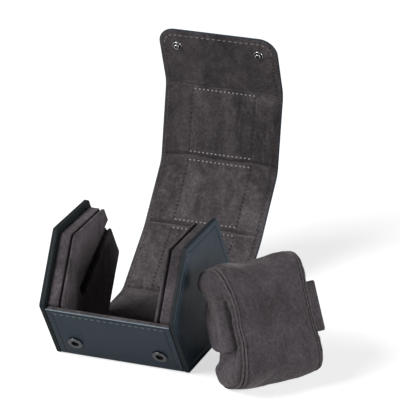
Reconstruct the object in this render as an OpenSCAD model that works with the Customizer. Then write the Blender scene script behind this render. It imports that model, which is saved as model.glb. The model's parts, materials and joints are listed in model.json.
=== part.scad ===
// Hexagonal travel case for one wristwatch, shown open, with its cushion beside it.
// Millimetres, +Z up. X runs along the prism, from end plate to end plate.
// The origin is the middle of the case's flat bottom face, on the surface it stands on.
// The flap is a chain of five stiff panels folded from the bottom's rear edge.

/* [Case] */
// Edge length of the hexagonal end plates
edge = 53; // [46:1:62]
// Width of the case over both end plates
case_w = 97.2; // [90:0.1:110]
// Radius of the end plates' corners
plate_corner_r = 2.5; // [1:0.5:4]
// Clearance between the flap's side edges and an end plate
side_gap = 0.3; // [0.2:0.1:1]

/* [End plates] */
// Thickness of the stiff board inside an end plate
plate_board_t = 2; // [1.5:0.1:3]
// Thickness of the leather wrapped round an end plate
plate_leather_t = 0.8; // [0.6:0.1:1.2]
// Width of the leather turned in behind an end plate
turn_in_w = 9; // [6:1:14]
// Distance of the creased line from an end plate's rim
crease_inset = 4.5; // [3.5:0.5:8]
// Width of the creased line
crease_w = 0.8; // [0.4:0.1:1.2]
// Depth of the creased line
crease_depth = 0.4; // [0.2:0.1:0.5]

/* [Side pads] */
// Clearance between a side pad and the panels folded round it
pad_gap = 0.4; // [0.3:0.1:1]
// Thickness of a side pad's foam block with its suede
pad_block_t = 9.4; // [8:0.1:12]
// Thickness of the suede on foam blocks
suede_t = 0.8; // [0.6:0.1:1.2]
// Depth of the shadow groove between a block and its face board
groove_t = 0.4; // [0.3:0.1:0.8]
// Set-back of the glued layer in the shadow groove
groove_inset = 2; // [1:0.5:3]
// Thickness of a side pad's face board
pad_face_t = 2.6; // [2:0.1:4]
// Corner radius of the side pads
pad_corner_r = 2; // [1:0.5:3]

/* [Cushion slots] */
// Distance of a slot's centre line from the pad's top rear corner
slot_from_corner = 17; // [14:1:28]
// Length of a slot from the pad's edge
slot_len = 59; // [52:1:62]
// Depth of a slot into the foam block
slot_in_block = 3.6; // [3:0.1:5]
// Clearance of the cushion's key board in a slot, each side
key_gap = 0.5; // [0.3:0.1:1]

/* [Panels] */
// Thickness of the outer leather of the panels
skin_t = 1; // [0.8:0.1:1.4]
// Thickness of the stiff board in a panel
board_t = 1.6; // [1.2:0.1:2]
// Thickness of the suede lining over a panel's board
lining_t = 1; // [0.8:0.1:1.4]
// Distance of a board's edges from its panel's edges
board_inset = 4; // [3:0.5:6]
// Distance of the lining's side edges from the leather's
lining_inset = 0.8; // [0.5:0.1:1.5]
// Distance of a board's ends from its panel's bevels
board_end_inset = 2; // [1:0.5:4]
// Clearance on each side of a fold when the case is closed
fold_gap = 0.35; // [0.3:0.05:0.6]
// Gap between the round edge of one leather panel and the next panel's leather
skin_gap = 0.3; // [0.2:0.05:0.5]
// Distance of the front panel's top edge below its corner line
front_top_gap = 2.4; // [2.2:0.1:3]
// Thickness of the suede strip across the last fold
strip_t = 0.8; // [0.6:0.1:0.8]

/* [Closing tab] */
// Length of the closing tab from its fold to its free edge
tab_len = 47.8; // [44:0.1:48]
// Corner radius of the closing tab
tab_corner_r = 13; // [8:1:18]
// Thickness of the soft stiffener in the closing tab
tab_board_t = 0.6; // [0.4:0.1:0.8]
// Thickness of the suede lining of the closing tab
tab_lining_t = 0.8; // [0.6:0.1:1]
// Gap between the closing tab and the front panel when snapped shut
tab_gap = 2.2; // [2.1:0.1:3]

/* [Flap at rest] */
// Slope of the first panel above the surface the case stands on
slope_1 = 1.2; // [0.4:0.1:6]
// Slope of the second panel
slope_2 = 37.7; // [30:0.1:44]
// Slope of the third panel
slope_3 = 48.5; // [45:0.1:58]
// Slope of the fourth panel
slope_4 = 78.2; // [70:0.1:80]
// Slope of the closing tab
slope_5 = 108.1; // [100:0.1:116]

/* [Snap fasteners] */
// Distance of a snap fastener's centre from the flap's side edge
snap_from_side = 14; // [12:0.1:20]
// Distance of the sockets from the front panel's lower corner line
socket_from_bottom = 15.4; // [12:0.1:20]
// Outer radius of a snap socket
socket_r = 5.2; // [4.5:0.1:6]
// Height of a snap socket on the leather
socket_h = 1.5; // [1.2:0.1:1.6]
// Radius of a snap stud's nub
nub_r = 1.9; // [1.5:0.1:2.2]
// Clearance between the nub and the socket's hole
nub_gap = 0.35; // [0.3:0.05:0.5]
// Height of a snap stud's nub above its flange
nub_h = 1.4; // [1:0.1:1.4]
// Radius of a snap stud's flange
stud_flange_r = 3.4; // [3.2:0.1:4.5]
// Thickness of a snap stud's flange
stud_flange_t = 0.5; // [0.3:0.1:0.5]
// Radius of the rivet shaft that holds a snap part
rivet_r = 1.2; // [1:0.1:1.4]
// Radius of a stud's cap on the outer leather
cap_r = 6; // [5:0.1:7]
// Thickness of a stud's cap
cap_t = 0.9; // [0.6:0.1:1.2]
// Radius of a socket rivet's head behind the front panel
rivet_head_r = 4; // [3:0.1:4.5]
// Thickness of a socket rivet's head
rivet_head_t = 0.3; // [0.2:0.1:0.3]
// Wire radius of the ring spring in a socket
spring_wire_r = 0.25; // [0.2:0.05:0.3]
// Clearance round a ring spring in its groove
spring_room = 0.1; // [0.1:0.05:0.2]
// Clearance round a rivet's shaft
rivet_gap = 0.05; // [0.03:0.01:0.1]

/* [Cushion] */
// Length of the cushion between the outermost points of its ends
cushion_len = 64; // [58:0.5:64]
// Height of the cushion, across the way a strap goes round
cushion_h = 80; // [70:1:82]
// Depth of the cushion, front to back
cushion_d = 45.6; // [40:0.2:50]
// How far the cushion's middle lies behind its key boards
cushion_back = 12.8; // [8:0.2:13]
// How far the cushion's middle lies below its key boards
cushion_down = 2.5; // [0:0.5:4]
// How far the cushion's ends draw in round the key boards
end_draw = 2.4; // [1:0.1:3]
// How far the crown sinks where a strap goes round
strap_dip = 0.8; // [0:0.1:1.5]
// Height of a key board
key_h = 34; // [28:1:38]
// Thickness of a key board
key_t = 8; // [6:0.5:8.5]
// Length of the cushion over both key boards
key_span = 74; // [70:0.5:76]
// Clearance round a key board where it leaves the cushion's end
key_seat_gap = 0.2; // [0.1:0.05:0.5]
// Height of the foam core that runs through the cushion
core_h = 46; // [42:1:54]
// Depth of the foam core
core_d = 30; // [24:1:32]
// Thickness of the suede end panel behind a key board
end_panel_t = 1.2; // [0.8:0.1:1.6]
// Sideways place of the cushion's key boards
cushion_x = 103.1; // [100:0.1:130]
// Front to back place of the cushion's key boards
cushion_y = -21.6; // [-60:0.1:10]
// Turn of the cushion about the vertical
cushion_turn = 48.4; // [30:0.1:60]
// Lean of the cushion away from its front
cushion_lean = 27.8; // [15:0.1:32]

/* [Hidden] */

curve = 48;
through = 1;
leather_rgb = [0.19, 0.24, 0.27];
board_rgb = [0.52, 0.47, 0.40];
foam_rgb = [0.30, 0.30, 0.31];
suede_rgb = [0.30, 0.27, 0.28];
metal_rgb = [0.45, 0.45, 0.46];

// The hexagon, and the folds, which lie at mid depth of the outer leather
apothem = edge * sqrt(3) / 2;
fold_in = skin_t / 2;
panel_len = (apothem - fold_in) / cos(30);
inner_t = board_t + lining_t;
panel_t = skin_t + inner_t;
tab_inner_t = tab_board_t + tab_lining_t;
last_panel_len = panel_len + (tab_gap + tab_inner_t + skin_t) / sin(60);
lead_w = last_panel_len - panel_len;

// Places across the width, from the outside in
plate_t = plate_board_t + 2 * plate_leather_t;
plate_in_x = case_w / 2 - plate_t;
block_in_x = plate_in_x - pad_block_t;
face_out_x = block_in_x - groove_t;
pad_in_x = face_out_x - pad_face_t;
flap_half_w = plate_in_x - side_gap;
pad_inset = panel_t + pad_gap;
slot_w = key_t + 2 * key_gap;

// Snap stack: the nub ends inside the socket's hole
socket_hole_r = nub_r + nub_gap;
spring_ring_r = socket_hole_r + spring_room + spring_wire_r;
groove_r = spring_ring_r + spring_wire_r + spring_room;
groove_half_h = spring_wire_r + spring_room;
rivet_hole_r = rivet_r + rivet_gap;
snap_x = flap_half_w - snap_from_side;
socket_s = panel_len - socket_from_bottom;
stud_s = socket_s - lead_w / 2;

// Corner k of the hexagon moved in by inset: 0 bottom front, then round by the rear and top
function corner_angle(k) = -120 + 60 * k;
function corner_at(k, inset) =
    let (r = (apothem - inset) / cos(30))
    [r * cos(corner_angle(k)), apothem + r * sin(corner_angle(k))];

// A panel's frame is [y, z, slope]: its fold line and its direction
function along(p, s) = [p[0] + s * cos(p[2]), p[1] + s * sin(p[2])];
function next_panel(p, len, slope) = [along(p, len)[0], along(p, len)[1], slope];
front_at = [corner_at(5, fold_in)[0], corner_at(5, fold_in)[1], -60];
bottom_at = [corner_at(0, fold_in)[0], corner_at(0, fold_in)[1], 0];
panel_1_at = [corner_at(1, fold_in)[0], corner_at(1, fold_in)[1], slope_1];
panel_2_at = next_panel(panel_1_at, panel_len, slope_2);
panel_3_at = next_panel(panel_2_at, panel_len, slope_3);
panel_4_at = next_panel(panel_3_at, panel_len, slope_4);
tab_at = next_panel(panel_4_at, last_panel_len, slope_5);

// Draws a YZ outline as a prism from x0 to x1
module prism(x0, x1) {
    translate([x0, 0, 0])
        rotate([90, 0, 90])
            linear_extrude(x1 - x0)
                children();
}

// Places children in a panel's frame: Y runs along it, Z points into the case
module on_panel(p, x = 0, s = 0) {
    translate([x, p[0], p[1]])
        rotate([p[2], 0, 0])
            translate([0, s, 0])
                children();
}

// Hexagon with true round corners
module round_hexagon(inset, r) {
    polygon([
        for (k = [0:5])
            for (side = [-30, 30])
                let (c = corner_at(k, inset + r), a = corner_angle(k) + side)
                [c[0] + r * cos(a), c[1] + r * sin(a)]
    ]);
    for (k = [0:5])
        translate(corner_at(k, inset + r))
            circle(r = r, $fn = curve);
}

// Where a fold's bevel lies at depth t, with the fold's clearance
function bevel(t) = t * tan(30) + fold_gap;

// Draws a piece of the +X end on the side asked for
module end_side(side) {
    mirror([side < 0 ? 1 : 0, 0, 0])
        children();
}

// One end plate, drawn for the +X side
module end_leather() {
    outer = case_w / 2;
    difference() {
        prism(plate_in_x, outer) round_hexagon(0, plate_corner_r);
        prism(plate_in_x + plate_leather_t, outer - plate_leather_t)
            round_hexagon(plate_leather_t, plate_corner_r - plate_leather_t);
        prism(plate_in_x - through, plate_in_x + plate_leather_t)
            round_hexagon(plate_leather_t + turn_in_w, plate_corner_r / 2);
        difference() {
            prism(outer - crease_depth, outer + through) round_hexagon(crease_inset, pad_corner_r);
            prism(outer - crease_depth - through, outer + 2 * through)
                round_hexagon(crease_inset + crease_w, pad_corner_r / 2);
        }
    }
}

module end_board() {
    prism(plate_in_x + plate_leather_t, case_w / 2 - plate_leather_t)
        round_hexagon(plate_leather_t, plate_corner_r - plate_leather_t);
    prism(plate_in_x, plate_in_x + plate_leather_t)
        round_hexagon(plate_leather_t + turn_in_w, plate_corner_r / 2);
}

// The key board's channel, from x0 to x1, grown by extra on its closed sides
module slot(x0, x1, extra = 0) {
    top_rear = corner_at(3, pad_inset);
    rear = corner_at(2, pad_inset);
    mouth = top_rear + (rear - top_rear) * slot_from_corner / norm(rear - top_rear);
    prism(x0, x1)
        translate(mouth)
            rotate(210)
                translate([-slot_w, -slot_w / 2 - extra])
                    square([slot_w + slot_len + extra, slot_w + 2 * extra]);
}

module pad_foam() {
    difference() {
        prism(block_in_x + suede_t, plate_in_x)
            round_hexagon(pad_inset + suede_t, pad_corner_r - suede_t);
        slot(block_in_x - through, block_in_x + slot_in_block + suede_t, suede_t);
    }
}

module pad_suede() {
    difference() {
        prism(block_in_x, plate_in_x) round_hexagon(pad_inset, pad_corner_r);
        slot(block_in_x - through, block_in_x + slot_in_block);
        difference() {
            prism(block_in_x + suede_t, plate_in_x + through)
                round_hexagon(pad_inset + suede_t, pad_corner_r - suede_t);
            slot(block_in_x - through, block_in_x + slot_in_block + suede_t, suede_t);
        }
    }
}

module pad_face() {
    difference() {
        union() {
            prism(pad_in_x, face_out_x) round_hexagon(pad_inset, pad_corner_r);
            prism(pad_in_x + pad_face_t / 2, block_in_x)
                round_hexagon(pad_inset + groove_inset, pad_corner_r);
        }
        slot(pad_in_x - through, block_in_x + through);
    }
}

// A panel's outer leather. It ends in a round edge on the next fold.
module panel_skin(len, start) {
    prism(-flap_half_w, flap_half_w)
        polygon([[start, -fold_in], [len, -fold_in], [len, fold_in], [start, fold_in]]);
    round_edge(len);
}

module round_edge(len) {
    rotate([0, 90, 0])
        translate([0, len, -flap_half_w])
            cylinder(r = fold_in, h = 2 * flap_half_w, $fn = curve);
}

skin_start = fold_in + skin_gap;

// Bevelled stack outline between depths t0 and t1
module stack(half_w, len, t0, t1) {
    prism(-half_w, half_w)
        polygon([
            [bevel(t0), t0], [len - bevel(t0), t0],
            [len - bevel(t1), t1], [bevel(t1), t1]
        ]);
}

// Board laid on the leather, square at its ends so that it stays inside the bevels
module panel_board(len) {
    clear = bevel(fold_in + inner_t) + board_end_inset;
    prism(-flap_half_w + board_inset, flap_half_w - board_inset)
        translate([clear, fold_in])
            square([len - 2 * clear, board_t]);
}

module panel_lining(len) {
    difference() {
        stack(flap_half_w - lining_inset, len, fold_in, fold_in + inner_t);
        panel_board(len);
    }
}

// The fourth panel's stiff part stops before the front panel's top edge
stiff_4_len = panel_len + fold_gap;

module lead_strip() {
    strip_start = stiff_4_len - bevel(fold_in + inner_t);
    prism(-flap_half_w + lining_inset, flap_half_w - lining_inset)
        polygon([
            [strip_start, fold_in], [last_panel_len - bevel(fold_in), fold_in],
            [last_panel_len - bevel(fold_in + strip_t), fold_in + strip_t],
            [strip_start, fold_in + strip_t]
        ]);
}

// The closing tab's outline from start to its free edge, in X and along the panel
module tab_outline(half_w, start, inset) {
    r = tab_corner_r - inset;
    stop = tab_len - inset;
    translate([-half_w, start])
        square([2 * half_w, stop - r - start]);
    translate([-half_w + r, start])
        square([2 * (half_w - r), stop - start]);
    for (side = [-1, 1])
        translate([side * (half_w - r), stop - r])
            circle(r = r, $fn = curve);
}

module tab_layer(half_w, start, inset, t0, t1) {
    translate([0, 0, t0])
        linear_extrude(t1 - t0)
            tab_outline(half_w, start, inset);
}

// Something at both snap fasteners of a panel
module both_snaps(p, s) {
    for (side = [-1, 1])
        on_panel(p, side * snap_x, s)
            children();
}

module rivet_holes(p, s) {
    both_snaps(p, s)
        translate([0, 0, -panel_t])
            cylinder(r = rivet_hole_r, h = 3 * panel_t, $fn = curve);
}

// Fixed panels: bevelled together at the front lower corner
module front_leather() {
    miter = fold_in * tan(30);
    difference() {
        on_panel(front_at)
            prism(-flap_half_w, flap_half_w)
                polygon([
                    [front_top_gap, -fold_in], [panel_len + miter, -fold_in],
                    [panel_len - miter, fold_in], [front_top_gap, fold_in]
                ]);
        rivet_holes(front_at, socket_s);
    }
}

front_board_start = front_top_gap + lining_t;
front_board_stop = panel_len - bevel(fold_in + inner_t) - lining_t;

module front_board_blank() {
    on_panel(front_at)
        prism(-flap_half_w + board_inset, flap_half_w - board_inset)
            translate([front_board_start, fold_in])
                square([front_board_stop - front_board_start, board_t]);
}

module front_board() {
    difference() {
        front_board_blank();
        rivet_holes(front_at, socket_s);
    }
}

module front_lining() {
    t1 = fold_in + inner_t;
    difference() {
        on_panel(front_at)
            prism(-flap_half_w + lining_inset, flap_half_w - lining_inset)
                polygon([
                    [front_top_gap, fold_in], [panel_len - fold_in * tan(30), fold_in],
                    [panel_len - t1 * tan(30), t1], [front_top_gap, t1]
                ]);
        front_board_blank();
        rivet_holes(front_at, socket_s);
    }
}

module bottom_leather() {
    miter = fold_in * tan(30);
    on_panel(bottom_at) {
        prism(-flap_half_w, flap_half_w)
            polygon([
                [-miter, -fold_in], [panel_len, -fold_in],
                [panel_len, fold_in], [miter, fold_in]
            ]);
        round_edge(panel_len);
    }
}

module bottom_board() {
    on_panel(bottom_at) panel_board(panel_len);
}

module bottom_lining() {
    t1 = fold_in + inner_t;
    difference() {
        on_panel(bottom_at)
            prism(-flap_half_w + lining_inset, flap_half_w - lining_inset)
                polygon([
                    [fold_in * tan(30), fold_in], [panel_len - bevel(fold_in), fold_in],
                    [panel_len - bevel(t1), t1], [t1 * tan(30), t1]
                ]);
        bottom_board();
    }
}

// Sockets stand on the front leather, rivets pass through the panel
module snap_sockets() {
    both_snaps(front_at, socket_s)
        translate([0, 0, -fold_in - socket_h])
            difference() {
                cylinder(r = socket_r, h = socket_h, $fn = curve);
                translate([0, 0, -through])
                    cylinder(r = socket_hole_r, h = socket_h + 2 * through, $fn = curve);
                translate([0, 0, socket_h / 2 - groove_half_h])
                    cylinder(r = groove_r, h = 2 * groove_half_h, $fn = curve);
            }
}

module socket_springs() {
    both_snaps(front_at, socket_s)
        translate([0, 0, -fold_in - socket_h / 2])
            rotate_extrude($fn = curve)
                translate([spring_ring_r, 0])
                    circle(r = spring_wire_r, $fn = curve / 2);
}

module socket_rivets() {
    both_snaps(front_at, socket_s) {
        translate([0, 0, -fold_in])
            cylinder(r = rivet_r, h = panel_t, $fn = curve);
        translate([0, 0, fold_in + inner_t])
            cylinder(r = rivet_head_r, h = rivet_head_t, $fn = curve);
    }
}

module snap_studs() {
    inner = fold_in + tab_inner_t;
    both_snaps(tab_at, stud_s) {
        translate([0, 0, -fold_in])
            cylinder(r = rivet_r, h = inner + fold_in, $fn = curve);
        translate([0, 0, inner])
            cylinder(r = stud_flange_r, h = stud_flange_t, $fn = curve);
        translate([0, 0, inner + stud_flange_t])
            cylinder(r = nub_r, h = nub_h, $fn = curve);
    }
}

module stud_caps() {
    both_snaps(tab_at, stud_s)
        translate([0, 0, -fold_in - cap_t])
            cylinder(r = cap_r, h = cap_t, $fn = curve);
}

module tab_leather() {
    difference() {
        on_panel(tab_at)
            tab_layer(flap_half_w, skin_start, 0, -fold_in, fold_in);
        rivet_holes(tab_at, stud_s);
    }
}

module tab_stiffener_blank() {
    on_panel(tab_at)
        tab_layer(
            flap_half_w - board_inset, bevel(fold_in + tab_inner_t) + lining_t,
            board_inset, fold_in, fold_in + tab_board_t
        );
}

module tab_stiffener() {
    difference() {
        tab_stiffener_blank();
        rivet_holes(tab_at, stud_s);
    }
}

module tab_lining() {
    difference() {
        on_panel(tab_at)
            tab_layer(
                flap_half_w - lining_inset, bevel(fold_in + tab_inner_t),
                lining_inset, fold_in, fold_in + tab_inner_t
            );
        tab_stiffener_blank();
        rivet_holes(tab_at, stud_s);
    }
}

// Cushion, in its own frame: X along the key boards, +Y its front, +Z its top.
// Its rings run from end to end, each a rounded box outline scaled by the ring.
ring_sides = 32;
ring_x = [-0.98, -1, -1, -0.985, -0.93, -0.8, -0.5, 0, 0.5, 0.8, 0.93, 0.985, 1, 1, 0.98];
ring_size = [0.3, 0.68, 0.84, 0.92, 0.965, 0.99, 1, 1, 1, 0.99, 0.965, 0.92, 0.84, 0.68, 0.3];
outline_power = 0.5;
// Half height, as a share of a key board's height, over which an end draws in
draw_reach = 0.62;

function rounded(v) = sign(v) * pow(abs(v), outline_power);
function ring_point(i, j) =
    let (
        a = 360 * j / ring_sides,
        dip = strap_dip * pow(max(0, 1 - pow(2 * ring_x[i], 2)), 2),
        y = (cushion_d / 2 - dip) * ring_size[i] * rounded(cos(a)) - cushion_back,
        z = (cushion_h / 2 - dip) * ring_size[i] * rounded(sin(a)) - cushion_down,
        drawn = end_draw * exp(-pow(z / (key_h * draw_reach), 2)) * pow(ring_x[i], 8)
    )
    [ring_x[i] * cushion_len / 2 - sign(ring_x[i]) * drawn, y, z];

cushion_points = [
    for (i = [0:len(ring_x) - 1])
        for (j = [0:ring_sides - 1])
            ring_point(i, j)
];
function ring_index(i, j) = i * ring_sides + j % ring_sides;
cushion_faces = concat(
    [for (i = [0:len(ring_x) - 2]) for (j = [0:ring_sides - 1])
        [ring_index(i, j), ring_index(i, j + 1), ring_index(i + 1, j)]],
    [for (i = [0:len(ring_x) - 2]) for (j = [0:ring_sides - 1])
        [ring_index(i, j + 1), ring_index(i + 1, j + 1), ring_index(i + 1, j)]],
    [[for (j = [ring_sides - 1:-1:0]) ring_index(0, j)]],
    [[for (j = [0:ring_sides - 1]) ring_index(len(ring_x) - 1, j)]]
);

// Height of a cushion point once it leans, and the lift that rests the lowest on the surface
function leaned_z(p) = p[2] * cos(cushion_lean) + p[1] * sin(cushion_lean);
cushion_lift = -min([for (p = cushion_points) leaned_z(p)]);

module place_cushion() {
    translate([cushion_x, cushion_y, cushion_lift])
        rotate([0, 0, cushion_turn])
            rotate([-cushion_lean, 0, 0])
                mirror([0, 1, 0])
                    children();
}

core_end_x = cushion_len / 2 - end_draw - end_panel_t;
key_start_x = core_end_x + end_panel_t;

module core_block(half_len) {
    translate([-half_len, -cushion_back - core_d / 2, -cushion_down - core_h / 2])
        cube([2 * half_len, core_d, core_h]);
}

// The key board's own block at the +X end, grown by extra
module key_block(extra = 0) {
    translate([key_start_x, -key_t / 2 - extra, -key_h / 2 - extra])
        cube([key_span / 2 - key_start_x + extra, key_t + 2 * extra, key_h + 2 * extra]);
}

module cushion_cover() {
    place_cushion()
        difference() {
            polyhedron(points = cushion_points, faces = cushion_faces, convexity = 4);
            core_block(cushion_len);
            for (side = [-1, 1])
                end_side(side) key_block(key_seat_gap);
        }
}

module cushion_core() {
    place_cushion() core_block(core_end_x);
}

// A suede end panel with the key board that slides in a slot
module key_board(side) {
    place_cushion()
        end_side(side) {
            translate([core_end_x, -cushion_back - core_d / 2, -cushion_down - core_h / 2])
                cube([end_panel_t, core_d, core_h]);
            key_block();
        }
}

module left_end_leather() { color(leather_rgb) end_side(-1) end_leather(); }
module left_end_board() { color(board_rgb) end_side(-1) end_board(); }
module left_pad_foam() { color(foam_rgb) end_side(-1) pad_foam(); }
module left_pad_suede() { color(suede_rgb) end_side(-1) pad_suede(); }
module left_pad_face() { color(suede_rgb) end_side(-1) pad_face(); }
module right_end_leather() { color(leather_rgb) end_side(1) end_leather(); }
module right_end_board() { color(board_rgb) end_side(1) end_board(); }
module right_pad_foam() { color(foam_rgb) end_side(1) pad_foam(); }
module right_pad_suede() { color(suede_rgb) end_side(1) pad_suede(); }
module right_pad_face() { color(suede_rgb) end_side(1) pad_face(); }

module flap_leather(p, len) { color(leather_rgb) on_panel(p) panel_skin(len, skin_start); }
module flap_board(p, len) { color(board_rgb) on_panel(p) panel_board(len); }
module flap_lining(p, len) { color(suede_rgb) on_panel(p) panel_lining(len); }

module panel_4_lining() {
    color(suede_rgb) on_panel(panel_4_at) {
        panel_lining(stiff_4_len);
        lead_strip();
    }
}

left_end_leather();
left_end_board();
left_pad_foam();
left_pad_suede();
left_pad_face();
right_end_leather();
right_end_board();
right_pad_foam();
right_pad_suede();
right_pad_face();
color(leather_rgb) front_leather();
color(board_rgb) front_board();
color(suede_rgb) front_lining();
color(leather_rgb) bottom_leather();
color(board_rgb) bottom_board();
color(suede_rgb) bottom_lining();
color(metal_rgb) snap_sockets();
color(metal_rgb) socket_rivets();
color(metal_rgb) socket_springs();
flap_leather(panel_1_at, panel_len);  // panel_1_leather
flap_board(panel_1_at, panel_len);  // panel_1_board
flap_lining(panel_1_at, panel_len);  // panel_1_lining
flap_leather(panel_2_at, panel_len);  // panel_2_leather
flap_board(panel_2_at, panel_len);  // panel_2_board
flap_lining(panel_2_at, panel_len);  // panel_2_lining
flap_leather(panel_3_at, panel_len);  // panel_3_leather
flap_board(panel_3_at, panel_len);  // panel_3_board
flap_lining(panel_3_at, panel_len);  // panel_3_lining
flap_leather(panel_4_at, last_panel_len);  // panel_4_leather
flap_board(panel_4_at, stiff_4_len);  // panel_4_board
panel_4_lining();
color(leather_rgb) tab_leather();
color(board_rgb) tab_stiffener();
color(suede_rgb) tab_lining();
color(metal_rgb) snap_studs();
color(metal_rgb) stud_caps();
color(suede_rgb) cushion_cover();
color(foam_rgb) cushion_core();
color(suede_rgb) key_board(-1);  // left_key_board
color(suede_rgb) key_board(1);  // right_key_board
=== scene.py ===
"""Looks of a hexagonal travel case for one wristwatch, shown open, with its cushion beside it.

Everything is in metres in the CAD frame: X runs from end plate to end plate, +Y is the rear
where the flap starts, and +Z is up. Named sizes are in millimetres and are scaled by MM, but
those of the camera, the lights and the floor are in metres.
"""

import json
import math

import bmesh
import bpy
import numpy as np
from mathutils import Matrix, Vector, noise
from mathutils.bvhtree import BVHTree


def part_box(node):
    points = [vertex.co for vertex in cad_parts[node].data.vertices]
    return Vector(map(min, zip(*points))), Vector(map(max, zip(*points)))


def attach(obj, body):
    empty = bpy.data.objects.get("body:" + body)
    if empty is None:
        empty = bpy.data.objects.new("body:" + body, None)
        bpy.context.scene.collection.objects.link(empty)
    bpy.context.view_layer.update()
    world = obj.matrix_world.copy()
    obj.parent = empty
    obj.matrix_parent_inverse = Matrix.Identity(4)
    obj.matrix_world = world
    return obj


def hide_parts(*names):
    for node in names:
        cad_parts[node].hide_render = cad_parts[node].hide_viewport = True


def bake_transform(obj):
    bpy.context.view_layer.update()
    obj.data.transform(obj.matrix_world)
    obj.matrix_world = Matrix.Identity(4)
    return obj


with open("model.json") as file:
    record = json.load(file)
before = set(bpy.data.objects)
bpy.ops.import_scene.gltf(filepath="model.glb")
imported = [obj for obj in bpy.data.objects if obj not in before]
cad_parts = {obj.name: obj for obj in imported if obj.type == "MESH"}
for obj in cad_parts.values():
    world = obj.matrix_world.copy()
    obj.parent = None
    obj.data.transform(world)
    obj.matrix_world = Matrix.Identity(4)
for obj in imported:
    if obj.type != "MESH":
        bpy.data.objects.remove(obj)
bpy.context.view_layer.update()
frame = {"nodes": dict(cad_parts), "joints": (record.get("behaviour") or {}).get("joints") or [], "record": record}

MM = 0.001

# ---------------------------------------------------------------- sizes read from the frame
JOINTS = {j["name"]: j for j in frame["joints"]}
FOLD_NAMES = ["rear_fold", "lower_fold", "top_rear_fold", "top_front_fold", "tab_fold"]
# The strip's segments from the front's top edge on, and the body that carries each of them
NAMES = ["front", "bottom", "panel_1", "panel_2", "panel_3", "panel_4", "tab"]
BODIES = ["case", "case", *(f"flap_panel_{n}" for n in range(1, 5)), "closing_tab"]
FRONT, BOTTOM, LAST_PANEL, TAB = 0, 1, 5, 6
CLOSED_TURN = 60
SIDES = ((-1, "left"), (1, "right"))

PLATE_OUT_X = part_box("right_end_leather")[1].x / MM
PLATE_IN_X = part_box("right_end_leather")[0].x / MM
BLOCK_IN_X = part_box("right_pad_suede")[0].x / MM
FACE_IN_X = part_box("right_pad_face")[0].x / MM
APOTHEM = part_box("right_end_leather")[1].z / MM / 2
FLAP_HALF_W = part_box("panel_2_leather")[1].x / MM
LINING_HALF_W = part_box("panel_2_lining")[1].x / MM
BOARD_HALF_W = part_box("panel_2_board")[1].x / MM

# ---------------------------------------------------------------- sizes of the visual pieces
# Heights are measured from the middle of the flap's leather
LEATHER_HALF_T = 0.5
LINING_TOP_T = 3.1
LINING_THIN_T = 1.35
TAB_TOP_T = 1.9
TAB_THIN_T = 1.3
TAB_CORNER_R = 13
FRONT_TOP_GAP = 2.4
FRONT_LINE_DOWN = 1.5
BEAD_W = 0.8
SNAP_X = 30.7
SOCKET_FROM_BOTTOM = 15.4
FOLD_SOFT = 5
CORNER_SOFT = 2
# How far along the strip a fold's bending reaches on each side
EDGE_STITCH_INSET = 4.2
RECT_MIDDLE_X = 1.0
RECT_HALF_W = 23.9
ROW_FROM_CREASE = 3.3
# Points of the paths that rows of stitches follow: their distance, or their number
PATH_STEP = 0.8
CROSS_POINTS, TAB_CORNER_POINTS, TAB_END_POINTS = 60, 16, 200
# The open flap bends in a wide soft band, so its suede creases beyond the fold lines
CREASE_SHIFT = {2: 0, 3: 2, 4: 5, 5: 5.9, 6: 0.3}
BOARD_FROM_CREASE = 3.2
SEWN_FROM = 3
# The suede stays low before the tab's crease, to clear the front's top edge when closed
LEAD_FROM, LEAD_TO = 3.6, 8.2
# Where the suede rises onto a board, as distances in from the board's edge and from a crease
BOARD_RISE = (-1.5, 0.4)
CREASE_RISE = (0.1, 2.6)
# Depth and half width of the lines pressed into suede and leather
CREASE_LINE = (0.6, 0.5)
SUEDE_ROW_LINE = (0.22, 0.5)
RECT_LINE = (0.2, 0.6)
LEATHER_ROW_LINE = (0.16, 0.45)
LEATHER_FOLD_LINE = (0.22, 1.6)
FRONT_LINE = (0.28, 0.3)
SUEDE_DOWN = 0.1
SUEDE_LEAST_T = 0.15
SUEDE_EDGE_R = 0.6
LEATHER_EDGE_R = 0.45
LEATHER_EDGE_SHARE = 0.25
FRONT_SUEDE_EDGE_R = 1.1
FRONT_SUEDE_DOWN = 0.15
LEAST_STEP = 0.03
FAR = 1000
# Smaller differences than this count as none
TINY = 1e-6


# ================================================================ materials
def fill_inputs(tree, node, values):
    """Links the sockets among the values to a node's inputs, and sets the plain numbers."""
    for key, value in values.items():
        if isinstance(value, bpy.types.NodeSocket):
            tree.links.new(value, node.inputs[key])
        else:
            node.inputs[key].default_value = value


def add_node(tree, kind, values=None, **settings):
    node = tree.nodes.new("ShaderNode" + kind)
    for key, value in settings.items():
        setattr(node, key, value)
    fill_inputs(tree, node, values or {})
    return node


def new_material(name):
    material = bpy.data.materials.new(name)
    material.use_nodes = True
    tree = material.node_tree
    shader = tree.nodes["Principled BSDF"]
    place = add_node(tree, "TexCoord").outputs["Object"]
    return material, tree, shader, place


def noise_at(tree, place, scale, detail=2.0, roughness=0.5, distortion=0.0, stretch=None):
    """Noise of so many waves per metre, 0 to 1."""
    if stretch:
        place = add_node(tree, "Mapping", {"Vector": place, "Scale": stretch}).outputs[0]
    values = {"Vector": place, "Scale": scale, "Detail": detail}
    values.update({"Roughness": roughness, "Distortion": distortion})
    return add_node(tree, "TexNoise", values).outputs["Fac"]


def ramp(tree, fac, low, high, out_low=0.0, out_high=1.0):
    values = {"Value": fac, "From Min": low, "From Max": high}
    values.update({"To Min": out_low, "To Max": out_high})
    return add_node(tree, "MapRange", values).outputs[0]


# A mix node has sockets for numbers, vectors and colours; these are the colours' own
MIX_A, MIX_B, MIX_COLOUR = 6, 7, 2


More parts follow.
